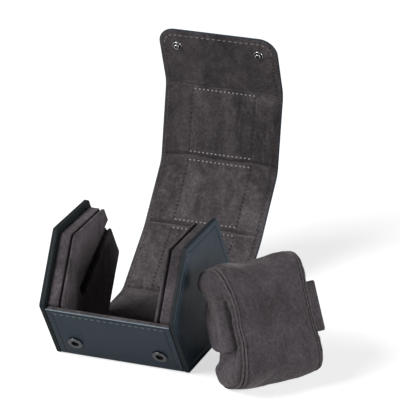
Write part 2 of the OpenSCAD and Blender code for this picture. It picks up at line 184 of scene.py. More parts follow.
def mix_colour(tree, fac, a, b, blend="MIX"):
    values = {0: fac, MIX_A: a, MIX_B: b}
    return add_node(tree, "Mix", values, data_type="RGBA", blend_type=blend).outputs[MIX_COLOUR]


def shade(rgb, times):
    return [min(1, c * times) for c in rgb] + [1]


def bump(tree, height, distance, strength, normal=None):
    values = {"Height": height, "Distance": distance, "Strength": strength}
    if normal:
        values["Normal"] = normal
    return add_node(tree, "Bump", values).outputs[0]


def leather_material(name, rgb, roughness, shine=0.36):
    """Matte grained leather: fine pebbles, faint cloudy tone and uneven gloss."""
    material, tree, shader, place = new_material(name)
    cloud = noise_at(tree, place, 40, 4, 0.6)
    speck = noise_at(tree, place, 900, 3, 0.6)
    tone = mix_colour(tree, ramp(tree, cloud, 0.3, 0.7), shade(rgb, 0.86), shade(rgb, 1.12))
    tone = mix_colour(tree, ramp(tree, speck, 0.35, 0.75), tone, shade(rgb, 1.35))
    pebbles = add_node(tree, "TexVoronoi", {"Vector": place, "Scale": 1300.0, "Randomness": 0.9})
    creases = noise_at(tree, place, 420, 5, 0.65, 0.6)
    normal = bump(tree, pebbles.outputs["Distance"], 0.00012, 0.5)
    normal = bump(tree, creases, 0.0002, 0.35, normal)
    gloss = ramp(tree, cloud, 0.3, 0.7, roughness - 0.06, roughness + 0.08)
    fill_inputs(tree, shader, {"Base Color": tone, "Roughness": gloss, "Normal": normal})
    shader.inputs["Specular IOR Level"].default_value = shine
    return material


def suede_material(name, rgb, mottle, painted_shade_above=None):
    """Brushed suede: patches where the nap lies another way, streaks, fibres and a soft sheen.

    Above the heights in painted_shade_above, in metres, the tone is painted darker: painted shade that makes the
    upper panels look duller.
    """
    material, tree, shader, place = new_material(name)
    patches = noise_at(tree, place, 34, 6, 0.66, 1.0, (1, 1, 0.6))
    marks = noise_at(tree, place, 150, 4, 0.7, 0.8, (1, 1, 0.35))
    tufts = noise_at(tree, place, 520, 4, 0.75)
    fibres = noise_at(tree, place, 1700, 3, 0.7)
    low, high = 1 - mottle, 1 + mottle
    tone = mix_colour(tree, ramp(tree, patches, 0.36, 0.64), shade(rgb, low), shade(rgb, high))
    light = ramp(tree, marks, 0.5, 0.72, 0, 0.6)
    tone = mix_colour(tree, light, tone, shade(rgb, high * 1.35))
    dark = ramp(tree, tufts, 0.38, 0.62, 0.55, 0)
    tone = mix_colour(tree, dark, tone, shade(rgb, low * 0.55))
    # Painted shade: above the given heights the suede's tone is multiplied darker
    if painted_shade_above:
        height = add_node(tree, "SeparateXYZ", {"Vector": place}).outputs["Z"]
        painted_shade = ramp(tree, height, *painted_shade_above)
        tone = mix_colour(tree, painted_shade, tone, (0.74, 0.74, 0.74, 1), "MULTIPLY")
    normal = bump(tree, fibres, 0.0003, 0.6)
    normal = bump(tree, tufts, 0.0006, 0.5, normal)
    gloss = ramp(tree, patches, 0.3, 0.7, 0.86, 0.98)
    fill_inputs(tree, shader, {"Base Color": tone, "Roughness": gloss, "Normal": normal})
    shader.inputs["Specular IOR Level"].default_value = 0.1
    shader.inputs["Sheen Weight"].default_value = 0.25
    shader.inputs["Sheen Roughness"].default_value = 0.45
    shader.inputs["Sheen Tint"].default_value = (0.9, 0.82, 0.84, 1)
    return material


def thread_material(name, rgb):
    """Waxed thread with its twist."""
    material, tree, shader, place = new_material(name)
    values = {"Vector": place, "Scale": 700.0, "Distortion": 1.0}
    bands = add_node(tree, "TexWave", values, wave_type="BANDS", bands_direction="DIAGONAL")
    twist = bands.outputs["Fac"]
    tone = mix_colour(tree, twist, shade(rgb, 0.75), shade(rgb, 1.2))
    fill_inputs(tree, shader, {"Base Color": tone, "Normal": bump(tree, twist, 0.0001, 0.5)})
    shader.inputs["Roughness"].default_value = 0.6
    return material


def metal_material(name, rgb, roughness):
    """Plated metal with fine scratches and smudges."""
    material, tree, shader, place = new_material(name)
    smudge = noise_at(tree, place, 300, 4, 0.6)
    scratch = noise_at(tree, place, 1200, 3, 0.5, 0.0, (1, 8, 1))
    tone = mix_colour(tree, ramp(tree, smudge, 0.3, 0.7), shade(rgb, 0.75), shade(rgb, 1.15))
    gloss = ramp(tree, smudge, 0.3, 0.7, roughness * 0.8, roughness * 1.4)
    normal = bump(tree, scratch, 0.00003, 0.3)
    fill_inputs(tree, shader, {"Base Color": tone, "Roughness": gloss, "Normal": normal})
    shader.inputs["Metallic"].default_value = 1
    return material


def plain_core_material(name, rgb, scale, depth):
    """Grey board or closed-cell foam, for what is inside the covers."""
    material, tree, shader, place = new_material(name)
    grain = noise_at(tree, place, scale, 4, 0.7)
    tone = mix_colour(tree, ramp(tree, grain, 0.3, 0.7), shade(rgb, 0.85), shade(rgb, 1.1))
    fill_inputs(tree, shader, {"Base Color": tone, "Normal": bump(tree, grain, depth, 0.5)})
    shader.inputs["Roughness"].default_value = 0.9
    return material


LEATHER = leather_material("slate_leather", (0.016, 0.031, 0.047), 0.44)
# Darker leather for the plates' rims and inner faces: dark edge paint, and painted shade
LEATHER_RIM_AND_SHADE = leather_material("slate_leather_rim_and_shade", (0.010, 0.014, 0.016), 0.5, 0.2)
# Light leather for the front's top bead: edge paint, made much lighter as a painted highlight
LEATHER_EDGE_HIGHLIGHT = leather_material("slate_leather_edge_highlight", (0.26, 0.31, 0.34), 0.4)
# The flap's suede gets painted shade above 66 to 86 mm, so the upper panels are darker
SUEDE = suede_material("brown_grey_suede", (0.098, 0.086, 0.092), 0.5, painted_shade_above=(0.066, 0.086))
PAD_SUEDE = suede_material("pad_suede", (0.100, 0.087, 0.096), 0.55)
CUSHION_SUEDE = suede_material("cushion_suede", (0.088, 0.077, 0.084), 0.3)
# Lighter suede for the cushion's seam ridges, as a painted highlight on their crests
RIDGE_SUEDE_HIGHLIT = suede_material("ridge_suede_highlit", (0.118, 0.104, 0.112), 0.25)
LIGHT_THREAD = thread_material("light_thread", (0.36, 0.33, 0.34))
FAINT_THREAD = thread_material("faint_thread", (0.22, 0.20, 0.21))
DARK_THREAD = thread_material("dark_thread", (0.012, 0.010, 0.012))
SLATE_THREAD = thread_material("slate_thread", (0.17, 0.22, 0.23))
NICKEL = metal_material("dark_nickel", (0.17, 0.17, 0.18), 0.3)
# Black metal for the snaps' walls and hollows: painted shade and dark reflection
BLACK_NICKEL_SHADE = metal_material("black_nickel_shade", (0.02, 0.02, 0.022), 0.35)
STUD_NICKEL = metal_material("stud_nickel", (0.75, 0.75, 0.76), 0.14)
BOARD = plain_core_material("grey_board", (0.30, 0.26, 0.21), 800, 0.0002)
FOAM = plain_core_material("black_foam", (0.05, 0.05, 0.052), 1500, 0.0004)


# ================================================================ mesh helpers
def add_object(name, data):
    item = bpy.data.objects.new(name, data)
    bpy.context.scene.collection.objects.link(item)
    return item


def shade_smooth(piece):
    piece.data.polygons.foreach_set("use_smooth", [True] * len(piece.data.polygons))


def new_piece(name, vertices, faces, material):
    mesh = bpy.data.meshes.new(name)
    mesh.from_pydata([tuple(v) for v in vertices], [], faces)
    mesh.validate()
    mesh.materials.append(material)
    piece = add_object(name, mesh)
    shade_smooth(piece)
    return piece


def loft_faces(rings, sides, first=0):
    """Quads between closed rings of sides points each, and a face at both ends."""
    faces = []
    for i in range(rings - 1):
        a, b = first + i * sides, first + (i + 1) * sides
        for j in range(sides):
            k = (j + 1) % sides
            faces.append((a + j, a + k, b + k, b + j))
    last = first + (rings - 1) * sides
    faces.append(tuple(first + j for j in reversed(range(sides))))
    faces.append(tuple(last + j for j in range(sides)))
    return faces


SHARP_DEGREES = 40


def loft(name, rings, material):
    """A closed skin over rings of as many points each."""
    rings = np.asarray(rings, float)
    count, sides = rings.shape[:2]
    piece = new_piece(name, rings.reshape(-1, 3), loft_faces(count, sides), material)
    outward_normals(piece)
    sharp_by_angle(piece, SHARP_DEGREES)
    return piece


def outward_normals(piece):
    work = bmesh.new()
    work.from_mesh(piece.data)
    bmesh.ops.recalc_face_normals(work, faces=work.faces)
    work.to_mesh(piece.data)
    work.free()


def sharp_by_angle(piece, degrees):
    work = bmesh.new()
    work.from_mesh(piece.data)
    for edge in work.edges:
        edge.smooth = edge.calc_face_angle(0) < math.radians(degrees)
    work.to_mesh(piece.data)
    work.free()


def smoothstep(x, low, high):
    t = np.clip((np.asarray(x, float) - low) / (high - low), 0, 1)
    return t * t * (3 - 2 * t)


def bell(x, width):
    return np.exp(-((np.asarray(x, float) / width) ** 2))


def mirrored_lines(offsets, half, middle):
    """Places across a strip: offsets in from both edges, and middle places between."""
    right = [half - o for o in offsets]
    return np.array(sorted({round(v, 4) for v in [*right, *(-r for r in right), *middle]}))


def apply_modifiers(piece):
    graph = bpy.context.evaluated_depsgraph_get()
    mesh = bpy.data.meshes.new_from_object(piece.evaluated_get(graph))
    piece.modifiers.clear()
    old, piece.data = piece.data, mesh
    bpy.data.meshes.remove(old)


def points_of(piece):
    co = np.zeros(len(piece.data.vertices) * 3)
    piece.data.vertices.foreach_get("co", co)
    return co.reshape(-1, 3)


def normals_of(piece):
    return np.array([v.normal for v in piece.data.vertices])


def set_points(piece, points):
    piece.data.vertices.foreach_set("co", np.asarray(points, float).ravel())
    piece.data.update()


def node_points(name):
    """A CAD node's vertices, in metres."""
    return np.array([v.co for v in frame["nodes"][name].data.vertices])


def lengths_along(points):
    """Distance from a path's first point to each of its points."""
    steps = np.linalg.norm(np.diff(points, axis=0), axis=1)
    return np.concatenate([[0], np.cumsum(steps)])


def sampled(values, along, at):
    """Rows of values that are known at distances along a path, at other distances."""
    return np.stack([np.interp(at, along, column) for column in values.T], 1)


def soft_noise(points, waves, seed):
    """Smooth noise at points, about -1 to 1, of so many waves per metre."""
    shift = Vector((seed, seed * 2, seed * 3))
    return np.array([noise.noise(Vector(p) * waves + shift) for p in points])


# ================================================================ the folded strip
# Fold k lies between segment k - 1 and segment k. Fold 1 is the fixed front corner.
def unit(slope):
    return np.array([math.cos(slope), math.sin(slope)])


HINGES = [np.array(JOINTS[n]["pos_m"][1:]) / MM for n in FOLD_NAMES]
TURNS = [math.radians(CLOSED_TURN - JOINTS[n]["range_deg"][1]) for n in FOLD_NAMES]
SLOPES = [-math.radians(CLOSED_TURN), 0.0, *np.cumsum(TURNS)]
PANEL_LEN = float(np.linalg.norm(HINGES[1] - HINGES[0]))
BOTTOM_START = HINGES[0] - np.array([PANEL_LEN, 0])
STARTS = [BOTTOM_START - PANEL_LEN * unit(SLOPES[0]), BOTTOM_START, *HINGES]
TAB_POINTS = node_points("tab_leather") / MM
TAB_LEN = float(((TAB_POINTS[:, 1:] - STARTS[TAB]) @ unit(SLOPES[TAB])).max())
LENGTHS = [float(np.linalg.norm(b - a)) for a, b in zip(STARTS, STARTS[1:])] + [TAB_LEN]
# How far along the strip each segment starts, and where the suede's creases are
ARCS = np.concatenate([[0], np.cumsum(LENGTHS)])
CREASES = np.array([ARCS[fold] + shift for fold, shift in CREASE_SHIFT.items()])
TAB_CREASE = CREASES[-1]


def strip_frame(k, s):
    """The strip's middle line at s along segment k, and its slope there, with soft folds."""
    s = np.asarray(s, float)
    y = STARTS[k][0] + s * math.cos(SLOPES[k])
    z = STARTS[k][1] + s * math.sin(SLOPES[k])
    slope = np.full(s.shape, SLOPES[k])
    for fold, along in ((k, s), (k + 1, s - LENGTHS[k])):
        if not BOTTOM <= fold <= TAB:
            continue
        soft = CORNER_SOFT if fold == BOTTOM else FOLD_SOFT
        turn = SLOPES[fold] - SLOPES[fold - 1]
        radius = soft / math.tan(turn / 2)
        near = np.abs(along) < soft
        phi = SLOPES[fold - 1] + (along + soft) / (2 * soft) * turn
        first = STARTS[fold] - soft * unit(SLOPES[fold - 1])
        y = np.where(near, first[0] + radius * (np.sin(phi) - math.sin(SLOPES[fold - 1])), y)
        z = np.where(near, first[1] - radius * (np.cos(phi) - math.cos(SLOPES[fold - 1])), z)
        slope = np.where(near, phi, slope)
    return y, z, slope


def strip_points(k, s, x, t):
    """Points at s along segment k, x across and t into the case, in metres."""
    s, x, t = np.broadcast_arrays(*(np.asarray(v, float) for v in (s, x, t)))
    y, z, slope = strip_frame(k, s)
    return np.stack([x, y - t * np.sin(slope), z + t * np.cos(slope)], -1) * MM


def strip_normal(k, s):
    slope = strip_frame(k, s)[2]
    return np.stack([np.zeros_like(slope), -np.sin(slope), np.cos(slope)], -1)


def half_width(k, s, half_w, inset):
    """Half width of the strip's outline moved in by inset, round at the tab's corners."""
    s = np.asarray(s, float)
    if k != TAB:
        return np.full(s.shape, half_w)
    r = TAB_CORNER_R - inset
    into = np.clip(s - (TAB_LEN - inset - r), 0, r)
    return half_w - r + np.sqrt(r * r - into * into)


def edge_distance(k, s, x, half_w, inset):
    """Distance from the strip's outline moved in by inset."""
    side = half_w - np.abs(x)
    if k != TAB:
        return side
    r, stop = TAB_CORNER_R - inset, TAB_LEN - inset
    end = stop - s
    corner = r - np.hypot(np.abs(x) - (half_w - r), s - (stop - r))
    in_corner = (np.abs(x) > half_w - r) & (s > stop - r)
    return np.where(in_corner, corner, np.minimum(side, end))


def rounded_edge(d, r):
    """0 at the edge to 1 at r in from it, as a quarter circle."""
    return np.sqrt(1 - (1 - np.clip(d / r, 0, 1)) ** 2)


# A crease's waves: height, radians per mm across, and how much its place shifts them
CREASE_WAVES = ((0.45, 0.13, 1), (0.3, 0.29, 2))
CREASE_BACK, CREASE_BACK_X = 1.2, (33, 45)
# The glued suede's waves: their height, then radians per mm along and across, and a shift
SUEDE_WAVE_H = 0.07
SUEDE_WAVES = ((0.21, 0.09, 0), (-0.13, 0.17, 1.3))
SEGMENT_SHIFT = 60


def crease_wander(x, crease):
    """How far a crease strays from its straight line: two waves, and back at the flap's edges."""
    soft = sum(h * np.sin(turns * x + shift * crease) for h, turns, shift in CREASE_WAVES)
    return soft - CREASE_BACK * smoothstep(np.abs(x), *CREASE_BACK_X)


def suede_span(arc):
    """The creases below and above places along the strip."""
    above = np.searchsorted(CREASES, arc)
    low = np.where(above > 0, CREASES[np.maximum(above - 1, 0)], -FAR)
    high = np.where(above < len(CREASES), CREASES[np.minimum(above, len(CREASES) - 1)], FAR)
    return low, high


def crease_reach(arc, x):
    """Distance to the nearest crease, with its wander."""
    found = [np.abs(arc - crease - crease_wander(x, crease)) for crease in CREASES]
    return np.minimum.reduce(found)


def rect_distance(arc, x):
    """Distance from the sewn rectangle of the panel at arc."""
    low, high = suede_span(arc)
    low, high = low + ROW_FROM_CREASE, high - ROW_FROM_CREASE
    across = np.abs(x - RECT_MIDDLE_X)
    beyond_s = np.maximum(np.maximum(low - arc, arc - high), 0)
    beyond_x = np.maximum(across - RECT_HALF_W, 0)
    inside = np.minimum(np.minimum(arc - low, high - arc), RECT_HALF_W - across)
    return np.where(inside > 0, inside, np.hypot(beyond_s, beyond_x))


def fold_reach(k, s):
    """Distance to the nearer fold line of segment k."""
    start = s if k > BOTTOM else np.full(np.shape(s), FAR)
    stop = LENGTHS[k] - s if k < TAB else np.full(np.shape(s), FAR)
    return np.minimum(np.abs(start), np.abs(stop))


def pressed(distance, line):
    """Depth of a pressed line, given as its depth and half width, at a distance from it."""
    depth, width = line
    return depth * bell(distance, width)


def wave(k, s, x):
    """Slight unevenness of glued suede, in mm, with other waves on each segment."""
    u = np.asarray(s, float) + SEGMENT_SHIFT * k
    waves = (np.sin(u * along + x * across + shift) for along, across, shift in SUEDE_WAVES)
    return SUEDE_WAVE_H * sum(waves)


def suede_height(k, s, x):
    """Height of the flap's suede above the strip's middle line."""
    s, x = np.broadcast_arrays(np.asarray(s, float), np.asarray(x, float))
    arc = ARCS[k] + s
    on_tab = arc > TAB_CREASE
    lining_edge = FLAP_HALF_W - LINING_HALF_W
    d = edge_distance(k, s, x, LINING_HALF_W, lining_edge)
    thin = np.where(on_tab, TAB_THIN_T, LINING_THIN_T)
    full = np.where(on_tab, TAB_TOP_T, LINING_TOP_T)
    board_from = LINING_HALF_W - BOARD_HALF_W
    over_board = smoothstep(d, board_from + BOARD_RISE[0], board_from + BOARD_RISE[1])
    reach = crease_reach(arc, x)
    along = smoothstep(reach, *CREASE_RISE)
    lead = smoothstep(TAB_CREASE - arc, LEAD_FROM, LEAD_TO)
    along = np.where(on_tab | (arc < TAB_CREASE - LEAD_TO), along, np.minimum(along, lead))
    h = thin + (full - thin) * over_board * along
    h = h - pressed(reach, CREASE_LINE)
    h = h - pressed(d - (EDGE_STITCH_INSET - lining_edge), SUEDE_ROW_LINE)
    if SEWN_FROM <= k < TAB:
        h = h - pressed(rect_distance(arc, x), RECT_LINE) * (1 - on_tab)
    h = h - SUEDE_DOWN + wave(k, s, x) * over_board * along
    floor = LEATHER_HALF_T + SUEDE_LEAST_T
    return floor + (h - floor) * rounded_edge(d, SUEDE_EDGE_R)


def leather_edge(d):
    """Share of the leather's thickness that is left near its edges."""
    return LEATHER_EDGE_SHARE + (1 - LEATHER_EDGE_SHARE) * rounded_edge(d, LEATHER_EDGE_R)


def leather_outer(k, s, x):
    """Depth of the flap's outer face below the strip's middle line, as a negative height."""
    s, x = np.broadcast_arrays(np.asarray(s, float), np.asarray(x, float))
    d = edge_distance(k, s, x, FLAP_HALF_W, 0)
    groove = pressed(d - EDGE_STITCH_INSET, LEATHER_ROW_LINE)
    if k > BOTTOM:
        groove = groove + pressed(fold_reach(k, s), LEATHER_FOLD_LINE)
    if k == FRONT:
        groove = groove + pressed(s - FRONT_TOP_GAP - FRONT_LINE_DOWN, FRONT_LINE)
        groove = groove + pressed(s - FRONT_TOP_GAP - EDGE_STITCH_INSET, LEATHER_ROW_LINE)
        d = np.minimum(d, s - FRONT_TOP_GAP)
    return (-LEATHER_HALF_T + groove) * leather_edge(d)


def leather_inner(k, s, x):
    d = edge_distance(k, s, x, FLAP_HALF_W, 0)
    if k == FRONT:
        d = np.minimum(d, np.asarray(s, float) - FRONT_TOP_GAP)
    return LEATHER_HALF_T * leather_edge(d)


# Distances from edges, folds, creases and sewn lines at which the strip's mesh has points
EDGE_STEPS = [0, 0.04, 0.12, 0.25, 0.45, 0.7, 1.1, 1.7, 2.4, 3.1, 3.5, 3.8, 4.0, 4.2]
EDGE_STEPS += [4.4, 4.6, 4.9, 5.3, 5.8, 6.6, 8, 11]
BEND_STEPS = [0, 1, 2, 3, 4, 5, 6.5, 8, 11, 15, 20]
CREASE_STEPS = [0, 0.2, 0.4, 0.65, 0.9, 1.2, 1.6, 2.0, 2.4, 2.8, 3.05, 3.3, 3.55, 3.8, 4.3, 5]
RECT_STEPS = [-2, -1.2, -0.8, -0.5, -0.25, 0, 0.25, 0.5, 0.8, 1.2, 2]
LINE_STEPS = [-0.4, -0.25, -0.12, 0, 0.12, 0.25, 0.4]
CORNER_CUTS, BEAD_CUTS = 12, 10


def stations(k, low, high):
    """Places along segment k from low to high, dense at its folds and at the tab's end."""
    found = [low, high]
    for o in BEND_STEPS:
        found += [o, LENGTHS[k] - o]
    for crease in CREASES - ARCS[k]:
        found += [crease + side * o for side in (-1, 1) for o in CREASE_STEPS]
    if k == TAB:
        found += [TAB_LEN - o for o in EDGE_STEPS]
        found += [TAB_LEN - (FLAP_HALF_W - LINING_HALF_W) - o for o in EDGE_STEPS]
        for a in range(CORNER_CUTS):
            share = 1 - math.sin(a / CORNER_CUTS * math.pi / 2)
            found.append(TAB_LEN - TAB_CORNER_R * share)
    if k == FRONT:
        found += [FRONT_TOP_GAP + o for o in EDGE_STEPS[1:]]
        found += [FRONT_TOP_GAP + FRONT_LINE_DOWN + o for o in LINE_STEPS]
        for a in range(BEAD_CUTS + 1):
            share = (1 - math.cos(math.pi * a / BEAD_CUTS)) / 2
            found.append(FRONT_TOP_GAP + BEAD_W * share)
    kept = []
    for s in sorted(found):
        if low <= s <= high and (not kept or s - kept[-1] > LEAST_STEP):
            kept.append(s)
    if high - kept[-1] > TINY:
        kept.append(high)
    return kept


def strip_loft(name, parts, half_w, top, bottom, material, middle=()):
    """A slab along the strip. parts are (segment, from, to); top and bottom are heights."""
    inset = FLAP_HALF_W - half_w
    middle = [v for v in middle if abs(v) < half_w - EDGE_STEPS[-1]]
    lines = mirrored_lines(EDGE_STEPS, half_w, middle)
    inner = half_w - EDGE_STEPS[-1]
    rings = []
    for k, low, high in parts:
        for s in stations(k, low, high):
            wide = float(half_width(k, s, half_w, inset))
            edge = np.sign(lines) * (wide - (half_w - np.abs(lines)))
            x = np.where(np.abs(lines) > inner, edge, lines * (wide - EDGE_STEPS[-1]) / inner)
            upper = strip_points(k, s, x, top(k, s, x))
            lower = strip_points(k, s, x[::-1], bottom(k, s, x[::-1]))
            rings.append(np.concatenate([upper, lower]))
    return loft(name, merge_close(rings), material)


def merge_close(rings):
    """Drops a ring that repeats the one before it, as where two segments meet."""
    kept = [rings[0]]
    for ring in rings[1:]:
        if np.abs(ring - kept[-1]).max() > TINY:
            kept.append(ring)
    return kept


def fold_parts(fold):
    """The half segments on both sides of a fold."""
    before = (fold - 1, LENGTHS[fold - 1] / 2, LENGTHS[fold - 1])
    after = (fold, 0, TAB_LEN if fold == TAB else LENGTHS[fold] / 2)
    return [before, after]


def blend_at(piece):
    """Bakes a piece's transform into its mesh."""
    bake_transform(piece)


# ================================================================ stitches
STITCH_SIDES = 6
# Each kind of row: thread, slot, and its stitches' pitch, length, radius and lift
STITCH_KINDS = {
    "light": (LIGHT_THREAD, "suede", 3.1, 1.4, 0.52, 0.12),
    "dark": (DARK_THREAD, "suede", 3.1, 1.6, 0.52, 0.16),
    "edge": (DARK_THREAD, "suede", 3.1, 1.7, 0.42, 0.08),
    "faint": (FAINT_THREAD, "suede", 4.2, 2.4, 0.34, 0.16),
    "outer": (SLATE_THREAD, "outer_leather", 3.4, 2.2, 0.28, 0.16),
    "front_top": (SLATE_THREAD, "outer_leather", 4.4, 2.9, 0.3, 0.2),
    "front_side": (DARK_THREAD, "outer_leather", 3.4, 2.3, 0.26, 0.16),
    "cushion": (DARK_THREAD, "suede", 2.6, 1.9, 0.2, 0.05),
}
# From one end of a stitch to the other: places, heights and thickness, as shares
STITCH_PLACES = np.array([0, 0.12, 0.5, 0.88, 1])
STITCH_HEIGHTS = np.array([-0.9, 0.1, 1, 0.1, -0.9])
STITCH_THICKNESS = np.array([0.6, 0.95, 1, 0.95, 0.6])


def stitch_mesh(paths, pitch, length, radius, lift):
    """Threads along paths, each path being points and normals in metres."""
    vertices, faces = [], []
    for points, normals in paths:
        along = lengths_along(points)
        count = max(1, round(along[-1] / (pitch * MM)))
        gap = along[-1] / count
        for i in range(count):
            start = (i + 0.5) * gap - length * MM / 2
            at = start + STITCH_PLACES * length * MM
            centre, up = sampled(points, along, at), sampled(normals, along, at)
            up /= np.linalg.norm(up, axis=1)[:, None]
            centre = centre + up * (STITCH_HEIGHTS * lift * MM)[:, None]
            forward = centre[-1] - centre[0]
            forward /= np.linalg.norm(forward)
            side = np.cross(forward, up)
            thick = STITCH_THICKNESS * radius * MM
            first = len(vertices)
            for c, u, w, r in zip(centre, up, side, thick):
                for j in range(STITCH_SIDES):
                    a = 2 * math.pi * j / STITCH_SIDES
                    vertices.append(c + r * (math.cos(a) * w + math.sin(a) * u))
            faces += loft_faces(len(STITCH_PLACES), STITCH_SIDES, first)
    return vertices, faces


def stitches(name, paths, kind):
    thread, slot, *sizes = STITCH_KINDS[kind]
    vertices, faces = stitch_mesh(paths, *sizes)
    piece = new_piece(name, vertices, faces, thread)
    outward_normals(piece)
    return piece


def face_normal(k, s, height):
    """Normals of the suede's face, or of the leather's outer face where height is its own."""
    return strip_normal(k, s) * (1 if height is suede_height else -1)


def strip_path(parts, height, side=1, x=None):
    """A path along the strip at x, or at an edge row's place, on the face height gives."""
    points, normals = [], []
    for k, low, high in parts:
        s = np.linspace(low, high, max(2, int((high - low) / PATH_STEP)))
        across = side * (FLAP_HALF_W - EDGE_STITCH_INSET) if x is None else x
        across = np.full(s.shape, float(across))
        points.append(strip_points(k, s, across, height(k, s, across)))
        normals.append(face_normal(k, s, height))
    return np.concatenate(points), np.concatenate(normals)


def cross_path(k, s, low_x, high_x, height):
    x = np.linspace(low_x, high_x, CROSS_POINTS)
    along = np.full(x.shape, float(s))
    points = strip_points(k, along, x, height(k, along, x))
    return points, face_normal(k, along, height)


def tab_end_path(height):
    """Round the closing tab's end, inside its outline."""
    r = TAB_CORNER_R - EDGE_STITCH_INSET
    stop, wide = TAB_LEN - EDGE_STITCH_INSET, FLAP_HALF_W - EDGE_STITCH_INSET
    outline = []
    for side in (1, -1):
        for a in np.linspace(0, math.pi / 2, TAB_CORNER_POINTS)[::side]:
            x = side * (wide - r + r * math.cos(a))
            outline.append((x, stop - r + r * math.sin(a)))
    outline = np.array(outline)
    along = lengths_along(outline)
    x, s = sampled(outline, along, np.linspace(0, along[-1], TAB_END_POINTS)).T
    return strip_points(TAB, s, x, height(TAB, s, x)), face_normal(TAB, s, height)


# ================================================================ the flap, bottom and front
def under_lining(k, s, x):
    return np.full(np.shape(x), LEATHER_HALF_T)


# Places across the strip where its mesh has points, away from its edges
LEATHER_LINES = range(-28, 29, 7)
SUEDE_LINES = [RECT_MIDDLE_X + side * (RECT_HALF_W + o) for side in (-1, 1) for o in RECT_STEPS]
SUEDE_LINES += [-30, -27, *range(-21, 22, 3), 27, 30]


def make_flap():
    """Leather and suede over each fold, from the middle of one segment to that of the next."""
    for fold in range(BOTTOM + 1, TAB + 1):
        parts = fold_parts(fold)
        name = NAMES[fold]
        leather = strip_loft(
            f"{name}_leather_wrap", parts, FLAP_HALF_W, leather_inner, leather_outer,
            LEATHER, LEATHER_LINES,
        )
        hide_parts(*(f"{NAMES[k]}_leather" for k in (fold - 1, fold)))
        blend_at(leather)
        suede_parts = parts
        if fold == TAB:
            suede_parts = [parts[0], (TAB, 0, TAB_LEN - (FLAP_HALF_W - LINING_HALF_W))]
        suede = strip_loft(
            f"{name}_suede_wrap", suede_parts, LINING_HALF_W, suede_height, under_lining,
            SUEDE, SUEDE_LINES,
        )
        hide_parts(*(f"{NAMES[k]}_lining" for k in (fold - 1, fold)))
        blend_at(suede)
        make_flap_stitches(fold, name, parts)


def make_boards():
    """The upper panels' boards, cut back where the suede creases beyond a fold line."""
    for k in range(SEWN_FROM, TAB):
        points = node_points(f"{NAMES[k]}_board")[:, 1:] / MM - STARTS[k]
        along, into = unit(SLOPES[k]), unit(SLOPES[k] + math.pi / 2)
        s, t = points @ along, points @ into
        stop = s.max() if k < LAST_PANEL else min(s.max(), LENGTHS[LAST_PANEL] - LEAD_TO)
        rings = []
        for at in (max(s.min(), CREASE_SHIFT[k] + BOARD_FROM_CREASE), stop):
            low, high = (STARTS[k] + at * along + depth * into for depth in (t.min(), t.max()))
            ring = [(side * BOARD_HALF_W, *low) for side in (-1, 1)]
            ring += [(side * BOARD_HALF_W, *high) for side in (1, -1)]
            rings.append(np.array(ring) * MM)
        board = loft(f"{NAMES[k]}_core", rings, BOARD)
        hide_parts(f"{NAMES[k]}_board")
        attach(board, BODIES[k])


def fold_spans(fold, low, high):
    """The parts of the strip from low to high, measured from a fold line."""
    before = (fold - 1, LENGTHS[fold - 1] + low, LENGTHS[fold - 1] + min(high, 0))
    after = (fold, max(low, 0), high)
    return [part for part in (before, after) if part[2] > part[1]]


def rect_row(fold, at):
    """A row across the flap at a distance from a fold line."""
    k, s = (fold, at) if at > 0 else (fold - 1, LENGTHS[fold - 1] + at)
    low_x, high_x = RECT_MIDDLE_X - RECT_HALF_W, RECT_MIDDLE_X + RECT_HALF_W
    return cross_path(k, s, low_x, high_x, suede_height)


def make_flap_stitches(fold, name, parts):
    """Edge rows on both faces, and the sewn rectangles' rows and sides."""
    straight = parts
    if fold == TAB:
        straight = [parts[0], (TAB, 0, TAB_LEN - TAB_CORNER_R)]
    rows = {kind: [] for kind in ("light", "dark", "edge", "faint", "outer")}
    rows["edge"] = [strip_path(straight, suede_height, side) for side in (-1, 1)]
    rows["outer"] = [strip_path(straight, leather_outer, side) for side in (-1, 1)]
    if fold == TAB:
        rows["faint"].append(tab_end_path(suede_height))
        rows["outer"].append(tab_end_path(leather_outer))
    before = CREASE_SHIFT[fold] - ROW_FROM_CREASE
    after = CREASE_SHIFT[fold] + ROW_FROM_CREASE
    sides = []
    if fold > SEWN_FROM:
        rows["light"].append(rect_row(fold, before))
        sides.append((-LENGTHS[fold - 1] / 2, before))
    if SEWN_FROM <= fold < TAB:
        rows["dark" if fold == SEWN_FROM else "light"].append(rect_row(fold, after))
        sides.append((after, LENGTHS[fold] / 2))
    for low, high in sides:
        for side in (-1, 1):
            x = RECT_MIDDLE_X + side * RECT_HALF_W
            rows["dark"].append(strip_path(fold_spans(fold, low, high), suede_height, x=x))
    for kind, paths in rows.items():
        if paths:
            blend_at(stitches(f"{name}_{kind}_stitches", paths, kind))


# How far the suede of front and bottom stops short of their shared corner
MITER = LINING_TOP_T * math.tan(math.radians(CLOSED_TURN / 2))
# How far the side rows stay from the top row and from the front's lower corner
SIDE_ROW_ENDS = (1, 3)
# Half thickness of the bead of edge paint and painted highlight, and the least share of its square that is left at
# its sides
BEAD_HALF_T, BEAD_LEAST = 0.6, 0.01
BEAD_END_GAP = 0.3


